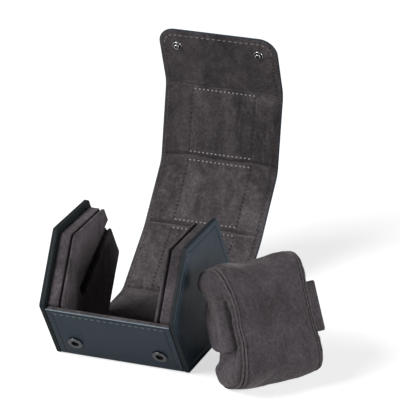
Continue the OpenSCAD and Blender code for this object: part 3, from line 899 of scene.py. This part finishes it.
def make_front():
    """The fixed front and the front half of the bottom, in leather and suede."""
    parts = [(FRONT, FRONT_TOP_GAP, LENGTHS[FRONT]), (BOTTOM, 0, LENGTHS[BOTTOM] / 2)]
    leather = strip_loft(
        "front_leather_wrap", parts, FLAP_HALF_W, leather_inner, leather_outer, LEATHER,
        LEATHER_LINES,
    )
    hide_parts("front_leather", "bottom_leather")
    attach(leather, "case")
    make_front_suede()
    half = strip_loft(
        "bottom_suede_front_half", [(BOTTOM, MITER, LENGTHS[BOTTOM] / 2)], LINING_HALF_W,
        suede_height, under_lining, SUEDE, SUEDE_LINES,
    )
    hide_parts("bottom_lining")
    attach(half, "case")
    row_s = FRONT_TOP_GAP + EDGE_STITCH_INSET
    wide = FLAP_HALF_W - EDGE_STITCH_INSET
    rows = [cross_path(FRONT, row_s, -wide, wide, leather_outer)]
    top = stitches("front_top_stitches", rows, "front_top")
    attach(top, "case")
    part = (FRONT, row_s + SIDE_ROW_ENDS[0], LENGTHS[FRONT] - SIDE_ROW_ENDS[1])
    sides = [strip_path([part], leather_outer, side) for side in (-1, 1)]
    edge = stitches("front_side_stitches", sides, "front_side")
    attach(edge, "case")
    # The bead along the front's top edge is in the light edge leather, a painted highlight
    bead = strip_loft(
        "front_top_edge", [(FRONT, FRONT_TOP_GAP, FRONT_TOP_GAP + BEAD_W)],
        FLAP_HALF_W - BEAD_END_GAP, bead_top, bead_bottom, LEATHER_EDGE_HIGHLIGHT,
    )
    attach(bead, "case")


def bead_swell(s):
    """Half thickness of the bead of edge paint and painted highlight along the front's top edge."""
    share = np.clip((np.asarray(s, float) - FRONT_TOP_GAP) / BEAD_W, 0, 1)
    return BEAD_HALF_T * np.sqrt(np.clip(1 - (2 * share - 1) ** 2, BEAD_LEAST, 1))


def bead_top(k, s, x):
    return bead_swell(s) + 0 * np.asarray(x, float)


def bead_bottom(k, s, x):
    return -bead_swell(s) + 0 * np.asarray(x, float)


def front_suede_height(k, s, x):
    d = np.minimum(LINING_HALF_W - np.abs(x), s - FRONT_TOP_GAP - FRONT_SUEDE_DOWN)
    full = LINING_TOP_T - LEATHER_HALF_T
    return LEATHER_HALF_T + full * rounded_edge(d, FRONT_SUEDE_EDGE_R)


def make_front_suede():
    suede = strip_loft(
        "front_suede", [(FRONT, FRONT_TOP_GAP, LENGTHS[FRONT] - MITER)], LINING_HALF_W,
        front_suede_height, under_lining, PAD_SUEDE, LEATHER_LINES,
    )
    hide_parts("front_lining")
    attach(suede, "case")


# ================================================================ hexagonal end plates
CORNER_STEPS = 7
EDGE_PARTS = 6
PLATE_CORNER_R = 2.5
# A plate's corners get sharper by this share of a ring's inset, down to the least radius
CORNER_LOSS = 0.6
LEAST_CORNER_R = 0.4
RIM_R = 0.9
RIM_DEGREES = range(0, 91, 15)
# Depth and half width of the seam round the rim's middle and of the crease on the outer face
RIM_SEAM = (0.28, 0.2)
PLATE_CREASE = (0.45, 0.3)
CREASE_INSET = 4.9
CREASE_FROM = 2.4
RIM_OFFSETS = (-0.45, -0.28, -0.14, 0, 0.14, 0.28, 0.45)
CREASE_OFFSETS = (-0.9, -0.6, -0.4, -0.25, -0.12, 0, 0.12, 0.25, 0.4, 0.6, 0.9)
# Rings on the plates' faces, as their inset and how far along x they lie from the face
INNER_RINGS = [(40, 0), (13, 0), (9.9, 0), (9.7, -0.02)]
OUTER_RINGS = [(7, 0), (10, -0.02), (18, -0.05), (30, -0.06), (40, -0.06)]
# Faces that look less outwards than this get the darker rim leather: dark edge paint on the rim, and painted shade
# on the rim and the inner face
OUTWARD_LEAST = 0.5


def corner_at(k, inset):
    """Corner k of the hexagon moved in by inset, as (y, z): 0 bottom front, then rearwards."""
    r = (APOTHEM - inset) / math.cos(math.radians(30))
    a = math.radians(-120 + 60 * k)
    return np.array([r * math.cos(a), APOTHEM + r * math.sin(a)])


def hexagon_ring(inset, radius):
    """Outline of a rounded hexagon with its edges cut into equal parts, as (y, z)."""
    corners = []
    for k in range(6):
        centre = corner_at(k, inset + radius)
        angles = np.radians(-120 + 60 * k + np.linspace(-30, 30, CORNER_STEPS))
        corners.append(centre + radius * np.stack([np.cos(angles), np.sin(angles)], 1))
    ring = []
    for k in range(6):
        ring.append(corners[k])
        a, b = corners[k][-1], corners[(k + 1) % 6][0]
        share = (np.arange(1, EDGE_PARTS) / EDGE_PARTS)[:, None]
        ring.append(a + (b - a) * share)
    return np.concatenate(ring)


def plate_profile():
    """(inset, x) from the middle of the inner face round the rim to the middle of the outer."""
    inner, outer = PLATE_IN_X, PLATE_OUT_X
    profile = [(inset, inner + along) for inset, along in INNER_RINGS]
    turns = [math.radians(a) for a in RIM_DEGREES]
    arc = [(RIM_R * (1 - math.sin(a)), RIM_R * (1 - math.cos(a))) for a in turns]
    profile += [(inset, inner + rise) for inset, rise in arc]
    middle = (inner + outer) / 2
    for o in RIM_OFFSETS:
        profile.append((float(pressed(o, RIM_SEAM)), middle + o))
    profile += [(inset, outer - rise) for inset, rise in reversed(arc)]
    profile.append((CREASE_FROM, outer))
    for o in CREASE_OFFSETS:
        profile.append((CREASE_INSET + o, outer - float(pressed(o, PLATE_CREASE))))
    return profile + [(inset, outer + along) for inset, along in OUTER_RINGS]


def make_plate(side, name):
    """An end plate with its rim and inner face in a darker leather: edge paint, and painted shade."""
    rings = []
    for inset, x in plate_profile():
        ring = hexagon_ring(inset, max(LEAST_CORNER_R, PLATE_CORNER_R - inset * CORNER_LOSS))
        rings.append(np.column_stack([np.full(len(ring), side * x), ring]) * MM)
    plate = loft(f"{name}_end_plate", rings, LEATHER)
    # Faces that do not look outwards get the darker leather: edge paint and painted shade
    plate.data.materials.append(LEATHER_RIM_AND_SHADE)
    for face in plate.data.polygons:
        if side * face.normal.x < OUTWARD_LEAST:
            face.material_index = 1
    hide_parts(f"{name}_end_leather")
    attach(plate, "case")


# ================================================================ side pads
PAD_INSET = 4.0
PAD_CORNER_R = 2.0
SLOT_FROM_CORNER = 17
SLOT_LEN = 59
SLOT_W = 9
SLOT_IN_BLOCK = 3.6
GROOVE_INSET = 2
PLATE_GAP = 1.3
# Where the softened pieces start and end, measured from the CAD's faces
BLOCK_BACK = 0.7
BLOCK_OVERLAP = 1
LIP_T = 2.3
NECK_FROM = 1
NECK_BEYOND = 0.1
PAD_VOXEL = 0.9
LIP_VOXEL = 0.8 * PAD_VOXEL
BLOCK_SMOOTH, LIP_SMOOTH = 3, 2
# Height in mm, waves per metre and seed of the cloth's unevenness
BLOCK_RUFFLE = (0.16, 90, 3.1)
LIP_RUFFLE = (0.1, 110, 7.7)


def pad_outline(inset, with_slot):
    """A side pad's outline as (y, z), with the key board's slot cut in from the top rear edge."""
    ring = hexagon_ring(inset, PAD_CORNER_R)
    if not with_slot:
        return ring
    top_rear, rear = corner_at(3, PAD_INSET), corner_at(2, PAD_INSET)
    edge = (top_rear - rear) / np.linalg.norm(top_rear - rear)
    inward = np.array([math.cos(math.radians(210)), math.sin(math.radians(210))])
    depth = inset - PAD_INSET
    mouth = top_rear - edge * SLOT_FROM_CORNER + inward * depth
    far = inward * (SLOT_LEN - depth)
    half = SLOT_W / 2
    notch = [mouth - edge * half, mouth - edge * half + far]
    notch += [mouth + edge * half + far, mouth + edge * half]
    per_corner = CORNER_STEPS + EDGE_PARTS - 1
    start = 2 * per_corner + CORNER_STEPS
    stop = 3 * per_corner
    return np.concatenate([ring[:start], notch, ring[stop:]])


def add_prism(work, outline, x0, x1):
    """A closed prism over a (y, z) outline, added to a bmesh."""
    base = [work.verts.new((x0 * MM, y * MM, z * MM)) for y, z in outline]
    top = [work.verts.new((x1 * MM, y * MM, z * MM)) for y, z in outline]
    count = len(outline)
    for j in range(count):
        k = (j + 1) % count
        work.faces.new((base[j], base[k], top[k], top[j]))
    work.faces.new(list(reversed(base)))
    work.faces.new(top)


def remesh(piece, voxel, smooth_steps):
    """Turns a piece into one soft closed skin."""
    material = piece.data.materials[0]
    skin = piece.modifiers.new("skin", "REMESH")
    skin.mode, skin.voxel_size = "VOXEL", voxel * MM
    smooth = piece.modifiers.new("soften", "SMOOTH")
    smooth.iterations, smooth.factor = smooth_steps, 0.5
    apply_modifiers(piece)
    piece.data.materials.clear()
    piece.data.materials.append(material)
    shade_smooth(piece)


def soft_block(name, prisms, voxel, smooth_steps):
    """One soft suede mesh round several overlapping prisms."""
    work = bmesh.new()
    for outline, x0, x1 in prisms:
        add_prism(work, outline, x0, x1)
    bmesh.ops.recalc_face_normals(work, faces=work.faces)
    bmesh.ops.triangulate(work, faces=work.faces)
    mesh = bpy.data.meshes.new(name)
    work.to_mesh(mesh)
    work.free()
    mesh.materials.append(PAD_SUEDE)
    piece = add_object(name, mesh)
    remesh(piece, voxel, smooth_steps)
    return piece


def ruffle(piece, side, height, waves, seed):
    """Moves the surface in and out a little, as cloth on foam does."""
    points = points_of(piece)
    amount = soft_noise(points, waves, seed * side) * height * MM
    set_points(piece, points + normals_of(piece) * amount[:, None])


def make_pad(side, name):
    """A slotted suede block on the plate, and a slotted face on a narrower neck."""
    floor_x = BLOCK_IN_X + SLOT_IN_BLOCK
    behind = pad_outline(PAD_INSET + PLATE_GAP, False)
    plain, slotted = pad_outline(PAD_INSET, False), pad_outline(PAD_INSET, True)
    neck = pad_outline(PAD_INSET + GROOVE_INSET, True)
    block_prisms = [
        (behind, side * floor_x, side * PLATE_IN_X),
        (plain, side * floor_x, side * (PLATE_IN_X - PLATE_GAP)),
        (slotted, side * (BLOCK_IN_X + BLOCK_BACK), side * (floor_x + BLOCK_OVERLAP)),
    ]
    block = soft_block(f"{name}_pad_block", block_prisms, PAD_VOXEL, BLOCK_SMOOTH)
    ruffle(block, side, *BLOCK_RUFFLE)
    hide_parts(f"{name}_pad_suede")
    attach(block, "case")
    lip_prisms = [
        (slotted, side * FACE_IN_X, side * (FACE_IN_X + LIP_T)),
        (neck, side * (FACE_IN_X + NECK_FROM), side * (BLOCK_IN_X + NECK_BEYOND)),
    ]
    face = soft_block(f"{name}_pad_lip", lip_prisms, LIP_VOXEL, LIP_SMOOTH)
    ruffle(face, side, *LIP_RUFFLE)
    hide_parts(f"{name}_pad_face")
    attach(face, "case")


# ================================================================ snap fasteners
LATHE_STEPS = 40
LATHE_SINK = 0.02
METAL_SHARP_DEGREES = 50
# Profiles are (radius, height) pairs; a part's walls and hollows are drawn in black nickel, as painted shade and
# dark reflection
SOCKET_PROFILE = [
    (4.9, 0), (4.9, 0.15), (5.15, 0.25), (5.25, 0.5), (5.22, 0.95), (5.05, 1.2), (4.7, 1.38),
    (4.2, 1.47), (3.6, 1.5), (3.1, 1.45), (2.75, 1.32), (2.5, 1.12), (2.35, 0.85), (2.3, 0.5),
    (2.2, 0.15), (1.2, 0.08), (0.4, 0.08),
]
SOCKET_SHADE_RINGS = [(0, 5), (11, 17)]
STUD_PROFILE = [
    (3.35, 0), (3.4, 0.2), (3.3, 0.4), (3.05, 0.5), (2.8, 0.45), (2.65, 0.25), (2.5, 0.12),
    (2.2, 0.1), (2.05, 0.2), (1.95, 0.6), (1.98, 1.2), (1.95, 1.6), (1.75, 1.82), (1.3, 1.9),
    (0.9, 1.86), (0.6, 1.7), (0.2, 1.66),
]
STUD_SHADE_RINGS = [(4, 9), (14, 17)]
CAP_PROFILE = [
    (6.0, 0), (6.02, 0.25), (5.85, 0.5), (5.4, 0.7), (4.6, 0.82), (3.4, 0.88), (2.0, 0.9),
    (0.5, 0.9),
]


def lathe(name, profile, centres, axis_up, material, dark=()):
    """Turned parts at each centre, along axis_up; dark gives the profile's black stretches, painted shade and dark
    reflection.
    """
    vertices, faces = [], []
    up, side = np.array(axis_up, float), np.array([1.0, 0, 0])
    other = np.cross(up, side)
    outline = [(profile[0][0], -LATHE_SINK), *profile]
    for centre in centres:
        first = len(vertices)
        for r, h in outline:
            for j in range(LATHE_STEPS):
                a = 2 * math.pi * j / LATHE_STEPS
                ring = math.cos(a) * side + math.sin(a) * other
                vertices.append(centre + (up * h + ring * r) * MM)
        faces += loft_faces(len(outline), LATHE_STEPS, first)
    piece = new_piece(name, vertices, faces, material)
    # The dark stretches are in black nickel: painted shade and dark reflection
    piece.data.materials.append(BLACK_NICKEL_SHADE)
    for face in piece.data.polygons:
        ring = min(v % (len(outline) * LATHE_STEPS) for v in face.vertices) // LATHE_STEPS
        if any(low <= ring < high for low, high in dark):
            face.material_index = 1
    outward_normals(piece)
    sharp_by_angle(piece, METAL_SHARP_DEGREES)
    return piece


def snap_places(k, s, height):
    return [strip_points(k, s, side * SNAP_X, height) for side in (-1, 1)]


def make_snaps():
    socket_s = LENGTHS[FRONT] - SOCKET_FROM_BOTTOM
    stud_s = socket_s - (LENGTHS[LAST_PANEL] - PANEL_LEN) / 2
    out = -strip_normal(FRONT, np.array([socket_s]))[0]
    inward = strip_normal(TAB, np.array([stud_s]))[0]
    places = snap_places(FRONT, socket_s, -LEATHER_HALF_T)
    sockets = lathe("snap_socket_rings", SOCKET_PROFILE, places, out, NICKEL, SOCKET_SHADE_RINGS)
    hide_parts("snap_sockets")
    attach(sockets, "case")
    places = snap_places(TAB, stud_s, TAB_TOP_T)
    studs = lathe("snap_stud_rings", STUD_PROFILE, places, inward, STUD_NICKEL, STUD_SHADE_RINGS)
    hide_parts("snap_studs")
    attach(studs, "closing_tab")
    places = snap_places(TAB, stud_s, -LEATHER_HALF_T)
    caps = lathe("stud_cap_domes", CAP_PROFILE, places, -inward, NICKEL)
    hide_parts("stud_caps")
    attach(caps, "closing_tab")


# ================================================================ the cushion
# In its own frame, X runs along the key boards, +Y is its front and +Z its top.
CUSHION_TURN = 48.4
CUSHION_LEAN = 27.8
OUTLINE_STEPS = 72
END_POWER = 8
# Rings from the cushion's middle to an end, and those that close the end, as shares
RING_PLACES = (0.0, 0.16, 0.3, 0.44, 0.56, 0.66, 0.75, 0.82, 0.88, 0.93, 0.965, 0.99)
END_SIZES = (0.42, 0.3, 0.18, 0.06)
COVER_GAP = 0.3
CUSHION_VOXEL = 2.2
CORE_SHARE = 0.72
LEAST_Z = 0.2
# Points this near a key board's outermost one, in mm, belong to its end face
SAME_FACE = 0.05
# The ends draw in round the key boards: how far, and between which distances from the middle
POCKET_IN = 4.5
POCKET_Y, POCKET_Z = (3.5, 6.5), (14, 20)
# Lobes stand out above and below the pockets, towards the back
LOBE_OUT = 2.4
LOBE_Z, LOBE_BACK = (19, 26), (-4, 12)
END_X = (22, 31)
# The cover is gathered between pocket and lobe, inwards and forwards
PINCH_Z_HIGH, PINCH_Z_LOW, PINCH_W = 20.5, -19.5, 3.0
PINCH_X, PINCH_BACK = (12, 30), (-3, 12)
PINCH_IN_HIGH, PINCH_IN_LOW, PINCH_FORWARD = 5.0, 7.5, 8.5
# The top rises towards both ends, and a strap presses the front's middle in
TOP_RISE = 2.4
TOP_Z, TOP_X = (12, 36), (8, 22)
FRONT_Y = (2, 9)
STRAP_IN, STRAP_X = 1.6, (7.5, 14.5)
SHOULDER_OUT, SHOULDER_X, SHOULDER_W = 0.8, 20, 7
# The cloth: its swelling, and the points by the key boards and in the pinches that are held
PUFF_FRAMES = 20
PUFF_PRESSURE = 4.0
PUFF_CAP = 1.8
HELD_X, HELD_Y, HELD_Z = 18, 5.5, 18.5
HELD_PINCH = 0.55
# Height in mm, waves per mm and seed of the cover's lumps
LUMPS = ((0.35, 0.09, 2.0), (0.16, 0.3, 5.0))
# The end seams: place, channel, and the two ridges on it
SEAM_X, SEAM_SPREAD, SEAM_Z = 25.8, 2.4, (10, 36)
SEAM_CHANNEL = (0.9, 1.9)
SEAM_POINTS = 181
SEAM_TRIES = 3
RAY_FROM = 70
RIDGE_BESIDE, RIDGE_R, RIDGE_SINK, RIDGE_SIDES = 1.0, 0.8, 0.5, 8
# The key boards: soft edge, rings on the end face, inner end, and corners
KEY_SOFT = 1.1
KEY_SOFT_DEGREES = (0, 20, 40, 60, 75, 90)
KEY_FACE_RINGS = (0.8, 1.6)
KEY_ROOT_X = 22.0
KEY_CORNER_R, KEY_CORNER_LOSS, KEY_LEAST_R = 1.4, 0.5, 0.3
KEY_CORNER_POINTS = 6


def cushion_turn():
    """The matrix from the cushion's own axes to the scene's: turned, leaning and mirrored in Y."""
    turn = Matrix.Rotation(math.radians(CUSHION_TURN), 3, "Z")
    lean = Matrix.Rotation(math.radians(-CUSHION_LEAN), 3, "X")
    return np.array(turn @ lean @ Matrix.Scale(-1, 3, (0, 1, 0)))


def turned_back(node, turn):
    """A CAD node's vertices, turned upright as the cushion's own frame is, in mm."""
    return node_points(node) @ turn / MM


class Cushion:
    """The cushion's place and sizes, measured on the CAD nodes."""

    def __init__(self):
        self.turn = cushion_turn()
        left, right = (turned_back(f"{name}_key_board", self.turn) for _, name in SIDES)
        outer = left[left[:, 0] < left[:, 0].min() + SAME_FACE]
        low, high = outer.min(0), outer.max(0)
        self.key_half = (high - low)[1:] / 2
        self.key_x = (right[:, 0].max() - left[:, 0].min()) / 2
        self.origin = (low + high) / 2 + np.array([self.key_x, 0, 0])
        cover = turned_back("cushion_cover", self.turn) - self.origin
        self.half = (cover.max(0) - cover.min(0)) / 2
        self.middle = (cover.max(0) + cover.min(0)) / 2

    def placed(self, points):
        """Points in the cushion's own frame, in mm, as points of the scene."""
        return (np.asarray(points, float) + self.origin) @ self.turn.T * MM

    def own(self, points):
        return np.asarray(points, float) / MM @ self.turn - self.origin


def signed_root(v):
    return np.sign(v) * np.sqrt(np.abs(v))


def pinch_at(points):
    """1 where the cover is gathered behind a key board's ends, 0 elsewhere."""
    x, y, z = points.T
    near = bell(z - np.where(z > 0, PINCH_Z_HIGH, PINCH_Z_LOW), PINCH_W)
    return near * smoothstep(np.abs(x), *PINCH_X) * smoothstep(-y, *PINCH_BACK)


def shape_cushion(points):
    """Draws the ends in round the key boards and presses in the strap's place."""
    x, y, z = points.T.copy()
    side, out = np.sign(x), np.abs(x)
    pocket = (1 - smoothstep(np.abs(z), *POCKET_Z)) * (1 - smoothstep(np.abs(y), *POCKET_Y))
    pinch = pinch_at(points)
    lobe = smoothstep(np.abs(z), *LOBE_Z) * smoothstep(-y, *LOBE_BACK)
    drawn = (POCKET_IN * pocket - LOBE_OUT * lobe) * smoothstep(out, *END_X)
    drawn = drawn + np.where(z > 0, PINCH_IN_HIGH, PINCH_IN_LOW) * pinch
    y = y + PINCH_FORWARD * pinch
    strap = 1 - smoothstep(out, *STRAP_X)
    shoulder = bell(out - SHOULDER_X, SHOULDER_W)
    z = z + TOP_RISE * smoothstep(z, *TOP_Z) * smoothstep(out, *TOP_X)
    y = y + smoothstep(y, *FRONT_Y) * (SHOULDER_OUT * shoulder - STRAP_IN * strap)
    return np.stack([side * (out - drawn), y, z], 1)


def cushion_rings(cushion):
    """Round box outlines from end to end, smaller towards the ends."""
    places = [(v, (1 - v**END_POWER) ** (1 / END_POWER)) for v in np.array(RING_PLACES)]
    places += [(1.0, size) for size in END_SIZES]
    places = [(-v, size) for v, size in reversed(places[1:])] + places
    half = cushion.half - COVER_GAP
    angles = np.linspace(0, 2 * math.pi, OUTLINE_STEPS, endpoint=False)
    rings = []
    for v, size in places:
        y = half[1] * size * signed_root(np.cos(angles))
        z = half[2] * size * signed_root(np.sin(angles))
        ring = np.column_stack([np.full(len(y), v * half[0]), y, z]) + cushion.middle
        rings.append(shape_cushion(ring))
    return rings


def puff(piece, pinned):
    """Swells a closed cloth under pressure, with some points held, and caps how far it moves."""
    group = piece.vertex_groups.new(name="held")
    group.add([int(i) for i in np.flatnonzero(pinned)], 1.0, "REPLACE")
    modifier = piece.modifiers.new("cloth", "CLOTH")
    settings = modifier.settings
    settings.quality = 6
    settings.mass = 0.2
    settings.tension_stiffness = settings.compression_stiffness = 12
    settings.shear_stiffness = 6
    settings.bending_stiffness = 0.3
    settings.use_pressure = True
    settings.uniform_pressure_force = PUFF_PRESSURE
    settings.shrink_min = -0.04
    settings.vertex_group_mass = "held"
    settings.effector_weights.gravity = 0
    scene = bpy.context.scene
    scene.frame_start, scene.frame_end = 1, PUFF_FRAMES
    start = points_of(piece)
    for number in range(1, PUFF_FRAMES + 1):
        scene.frame_set(number)
    graph = bpy.context.evaluated_depsgraph_get()
    swollen = points_of(piece.evaluated_get(graph))
    piece.modifiers.clear()
    scene.frame_set(1)
    move = swollen - start
    far = np.linalg.norm(move, axis=1)[:, None]
    set_points(piece, start + move * np.minimum(1, PUFF_CAP * MM / np.maximum(far, TINY)))
    piece.vertex_groups.clear()


def subdivide(piece):
    piece.modifiers.new("finer", "SUBSURF").levels = 1
    apply_modifiers(piece)
    shade_smooth(piece)


def make_cushion_cover(cushion):
    rings = [cushion.placed(ring) for ring in cushion_rings(cushion)]
    cover = loft("cushion_suede", rings, CUSHION_SUEDE)
    remesh(cover, CUSHION_VOXEL, 1)
    own = cushion.own(points_of(cover))
    x, y, z = np.abs(own).T
    near_key = (x > HELD_X) & (y < HELD_Y) & (z < HELD_Z)
    puff(cover, near_key | (pinch_at(own) > HELD_PINCH))
    subdivide(cover)
    own = cushion.own(points_of(cover))
    # Sewn channel along both end seams, then the suede's own unevenness
    channel = pressed(np.abs(own[:, 0]) - seam_x(own[:, 2]), SEAM_CHANNEL)
    lumps = sum(height * soft_noise(own, waves, seed) for height, waves, seed in LUMPS)
    points = points_of(cover) + normals_of(cover) * ((lumps - channel) * MM)[:, None]
    points[:, 2] = np.maximum(points[:, 2], LEAST_Z * MM)
    set_points(cover, points)
    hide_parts("cushion_cover")
    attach(cover, "cushion")
    return cover


def seam_x(z):
    """How far out an end seam runs at a height on the cushion."""
    return SEAM_X + SEAM_SPREAD * smoothstep(np.abs(z), *SEAM_Z)


def seam_path(cushion, tree, side, beside):
    """A seam's way round the cover's surface at one end, moved along the cushion by beside."""
    points, normals = [], []
    for a in np.linspace(0, 2 * math.pi, SEAM_POINTS):
        ray = Vector((0, math.cos(a), math.sin(a)))
        hit = Vector((0, 0, 0))
        # The seam's place depends on the height it is found at, so each try starts from the last
        for _ in range(SEAM_TRIES):
            centre = Vector((side * (float(seam_x(hit.z)) + beside), *cushion.middle[1:]))
            hit, normal = tree.ray_cast(centre + ray * RAY_FROM, -ray)[:2]
            if not hit:
                break
        if hit:
            points.append(hit)
            normals.append(normal)
    return cushion.placed(points), np.array(normals) @ cushion.turn.T


def ridge(name, path):
    """A round suede ridge laid along a closed path on a surface, in a lighter suede as a painted highlight."""
    points, normals = path
    forward = np.gradient(points, axis=0)
    forward /= np.linalg.norm(forward, axis=1)[:, None]
    side = np.cross(forward, normals)
    rings = []
    for j in range(RIDGE_SIDES):
        a = 2 * math.pi * j / RIDGE_SIDES
        out = normals * (math.sin(a) - RIDGE_SINK) + side * math.cos(a)
        rings.append(points + out * RIDGE_R * MM)
    return loft(name, np.stack(rings, 1), RIDGE_SUEDE_HIGHLIT)


def make_cushion_seams(cushion, cover):
    """A double ridge at each end with a row of stitches in its valley."""
    own = [Vector(p) for p in cushion.own(points_of(cover))]
    tree = BVHTree.FromPolygons(own, [list(p.vertices) for p in cover.data.polygons])
    for side, name in SIDES:
        for number, beside in ((1, -RIDGE_BESIDE), (2, RIDGE_BESIDE)):
            path = seam_path(cushion, tree, side, beside)
            piece = ridge(f"cushion_{name}_seam_{number}", path)
            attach(piece, "cushion")
        path = seam_path(cushion, tree, side, 0)
        row = stitches(f"cushion_{name}_stitches", [path], "cushion")
        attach(row, "cushion")


def make_key_board(cushion, side, name):
    """A stiff suede block with soft edges, from inside the cushion to its end face."""
    half_y, half_z = cushion.key_half
    profile = [(KEY_ROOT_X, 0.0)]
    for a in np.radians(KEY_SOFT_DEGREES):
        x = cushion.key_x - KEY_SOFT + KEY_SOFT * math.sin(a)
        profile.append((x, KEY_SOFT * (1 - math.cos(a))))
    profile += [(cushion.key_x, KEY_SOFT + o) for o in KEY_FACE_RINGS]
    rings = []
    for x, inset in profile:
        outline = []
        r = max(KEY_LEAST_R, KEY_CORNER_R - inset * KEY_CORNER_LOSS)
        for k in range(4):
            cy = (half_y - inset - r) * (1 if k in (0, 3) else -1)
            cz = (half_z - inset - r) * (1 if k < 2 else -1)
            for a in np.radians(np.linspace(90 * k, 90 * k + 90, KEY_CORNER_POINTS)):
                outline.append((side * x, cy + r * math.cos(a), cz + r * math.sin(a)))
        rings.append(cushion.placed(outline))
    board = loft(f"{name}_key_block", rings, CUSHION_SUEDE)
    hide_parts(f"{name}_key_board")
    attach(board, "cushion")


def make_cushion_core(cushion):
    """The foam block, pressed together by the cover."""
    points = cushion.own(node_points("cushion_core"))
    low, high = points.min(0), points.max(0)
    middle, half = (low + high) / 2, (high - low) / 2 * CORE_SHARE
    rings = []
    for x in (-half[0], half[0]):
        corners = [(x, y * half[1], z * half[2]) for y, z in ((-1, -1), (1, -1), (1, 1), (-1, 1))]
        rings.append(cushion.placed(middle + np.array(corners)))
    core = loft("cushion_foam", rings, FOAM)
    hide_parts("cushion_core")
    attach(core, "cushion")


def make_cushion():
    cushion = Cushion()
    make_cushion_core(cushion)
    cover = make_cushion_cover(cushion)
    make_cushion_seams(cushion, cover)
    for side, name in SIDES:
        make_key_board(cushion, side, name)


# ================================================================ CAD nodes that stay
def dress_cad_nodes():
    by_slot = {"outer_leather": LEATHER, "suede": PAD_SUEDE, "stiff_board": BOARD}
    by_slot.update({"foam": FOAM, "snap_metal": NICKEL})
    slots = {p["node"]: p["material_slot"] for p in frame["record"]["subparts"]}
    for name, node in frame["nodes"].items():
        material = by_slot[slots[name]]
        if name.endswith("key_board"):
            material = CUSHION_SUEDE
        for i in range(len(node.material_slots)):
            node.material_slots[i].material = material
        if not node.material_slots:
            node.data.materials.append(material)


# ================================================================ camera, light and floor
CAMERA_AZIMUTH = 21.863
CAMERA_ELEVATION = 22.821
CAMERA_ROLL = -0.738
CAMERA_DISTANCE = 2.0
CAMERA_TARGET = Vector((0.047061, 0, 0.11519))
# The camera fit's focal length in the photo's pixels, and the photo's width
FOCAL_PX, PHOTO_PX = 3024.35, 400
SENSOR_W = 36
LIGHT_TARGET = Vector((0.03, 0.03, 0.06))
WHITE = (1, 1, 1, 1)
STUDIO_LIGHT, MIRRORED_LIGHT, BACKDROP_LIGHT = 0.03, 0.4, 1.0
FLOOR_R, FLOOR_SIDES = 8.0, 64
FLOOR_GLOW = 0.66
FLOOR_DOWN = 0.0002


def make_camera():
    a, e, r = (math.radians(v) for v in (CAMERA_AZIMUTH, CAMERA_ELEVATION, CAMERA_ROLL))
    back = Vector((math.sin(a) * math.cos(e), -math.cos(a) * math.cos(e), math.sin(e)))
    right = Vector((math.cos(a), math.sin(a), 0))
    up = back.cross(right)
    tilted_right = math.cos(r) * right + math.sin(r) * up
    tilted_up = -math.sin(r) * right + math.cos(r) * up
    data = bpy.data.cameras.new("camera")
    data.sensor_width = SENSOR_W
    data.lens = FOCAL_PX / PHOTO_PX * SENSOR_W
    data.clip_start, data.clip_end = 0.05, 50
    camera = add_object("camera", data)
    turn = Matrix((tilted_right, tilted_up, back)).transposed().to_4x4()
    camera.matrix_world = Matrix.Translation(CAMERA_TARGET + back * CAMERA_DISTANCE) @ turn
    bpy.context.scene.camera = camera


def area_light(name, place, size, watts):
    """A rectangular light that looks at LIGHT_TARGET."""
    data = bpy.data.lights.new(name, "AREA")
    data.shape, data.size, data.size_y = "RECTANGLE", size[0], size[1]
    data.energy = watts
    light = add_object(name, data)
    light.location = place
    light.rotation_mode = "QUATERNION"
    light.rotation_quaternion = (LIGHT_TARGET - Vector(place)).to_track_quat("-Z", "Y")


def make_lights():
    area_light("key_light", (-1.25, -1.1, 1.45), (1.3, 1.3), 44)
    area_light("right_light", (1.8, -0.2, 0.56), (0.8, 0.6), 20)


def make_world():
    """White to the camera, grey in glossy reflections, and dim as a light."""
    world = bpy.data.worlds.new("studio")
    bpy.context.scene.world = world
    world.use_nodes = True
    tree = world.node_tree
    tree.nodes.clear()
    rays = add_node(tree, "LightPath").outputs
    studio, mirrored, white = (
        add_node(tree, "Background", {"Color": WHITE, "Strength": strength}).outputs[0]
        for strength in (STUDIO_LIGHT, MIRRORED_LIGHT, BACKDROP_LIGHT)
    )
    soft = add_node(tree, "MixShader", {0: rays["Is Glossy Ray"], 1: studio, 2: mirrored})
    mix = add_node(tree, "MixShader", {0: rays["Is Camera Ray"], 1: soft.outputs[0], 2: white})
    add_node(tree, "OutputWorld", {"Surface": mix.outputs[0]})


def floor_material():
    """Matte and pale, and brighter to the camera, so that it meets the white background."""
    material = bpy.data.materials.new("pale_floor")
    material.use_nodes = True
    tree = material.node_tree
    tree.nodes.clear()
    rays = add_node(tree, "LightPath").outputs
    place = add_node(tree, "TexCoord").outputs["Object"]
    grain = noise_at(tree, place, 30, 3)
    tone = mix_colour(tree, grain, shade(WHITE[:3], 0.80), shade(WHITE[:3], 0.84))
    matte = add_node(tree, "BsdfDiffuse", {"Color": tone}).outputs[0]
    glow = add_node(tree, "Emission", {"Color": WHITE, "Strength": FLOOR_GLOW}).outputs[0]
    both = add_node(tree, "AddShader", {0: matte, 1: glow}).outputs[0]
    seen = add_node(tree, "MixShader", {0: rays["Is Camera Ray"], 1: matte, 2: both})
    add_node(tree, "OutputMaterial", {"Surface": seen.outputs[0]})
    return material


def make_floor():
    turns = [2 * math.pi * i / FLOOR_SIDES for i in range(FLOOR_SIDES)]
    rim = [(FLOOR_R * math.cos(a), FLOOR_R * math.sin(a), 0) for a in turns]
    mesh = bpy.data.meshes.new("floor")
    mesh.from_pydata(rim, [], [tuple(range(FLOOR_SIDES))])
    mesh.materials.append(floor_material())
    floor = add_object("floor", mesh)
    floor.location.z = -FLOOR_DOWN


# ================================================================ everything
make_camera()
dress_cad_nodes()
make_flap()
make_boards()
make_front()
for plate_side, side_name in SIDES:
    make_plate(plate_side, side_name)
    make_pad(plate_side, side_name)
make_snaps()
make_cushion()
make_world()
make_lights()
make_floor()
bpy.context.scene.view_settings.view_transform = "Standard"
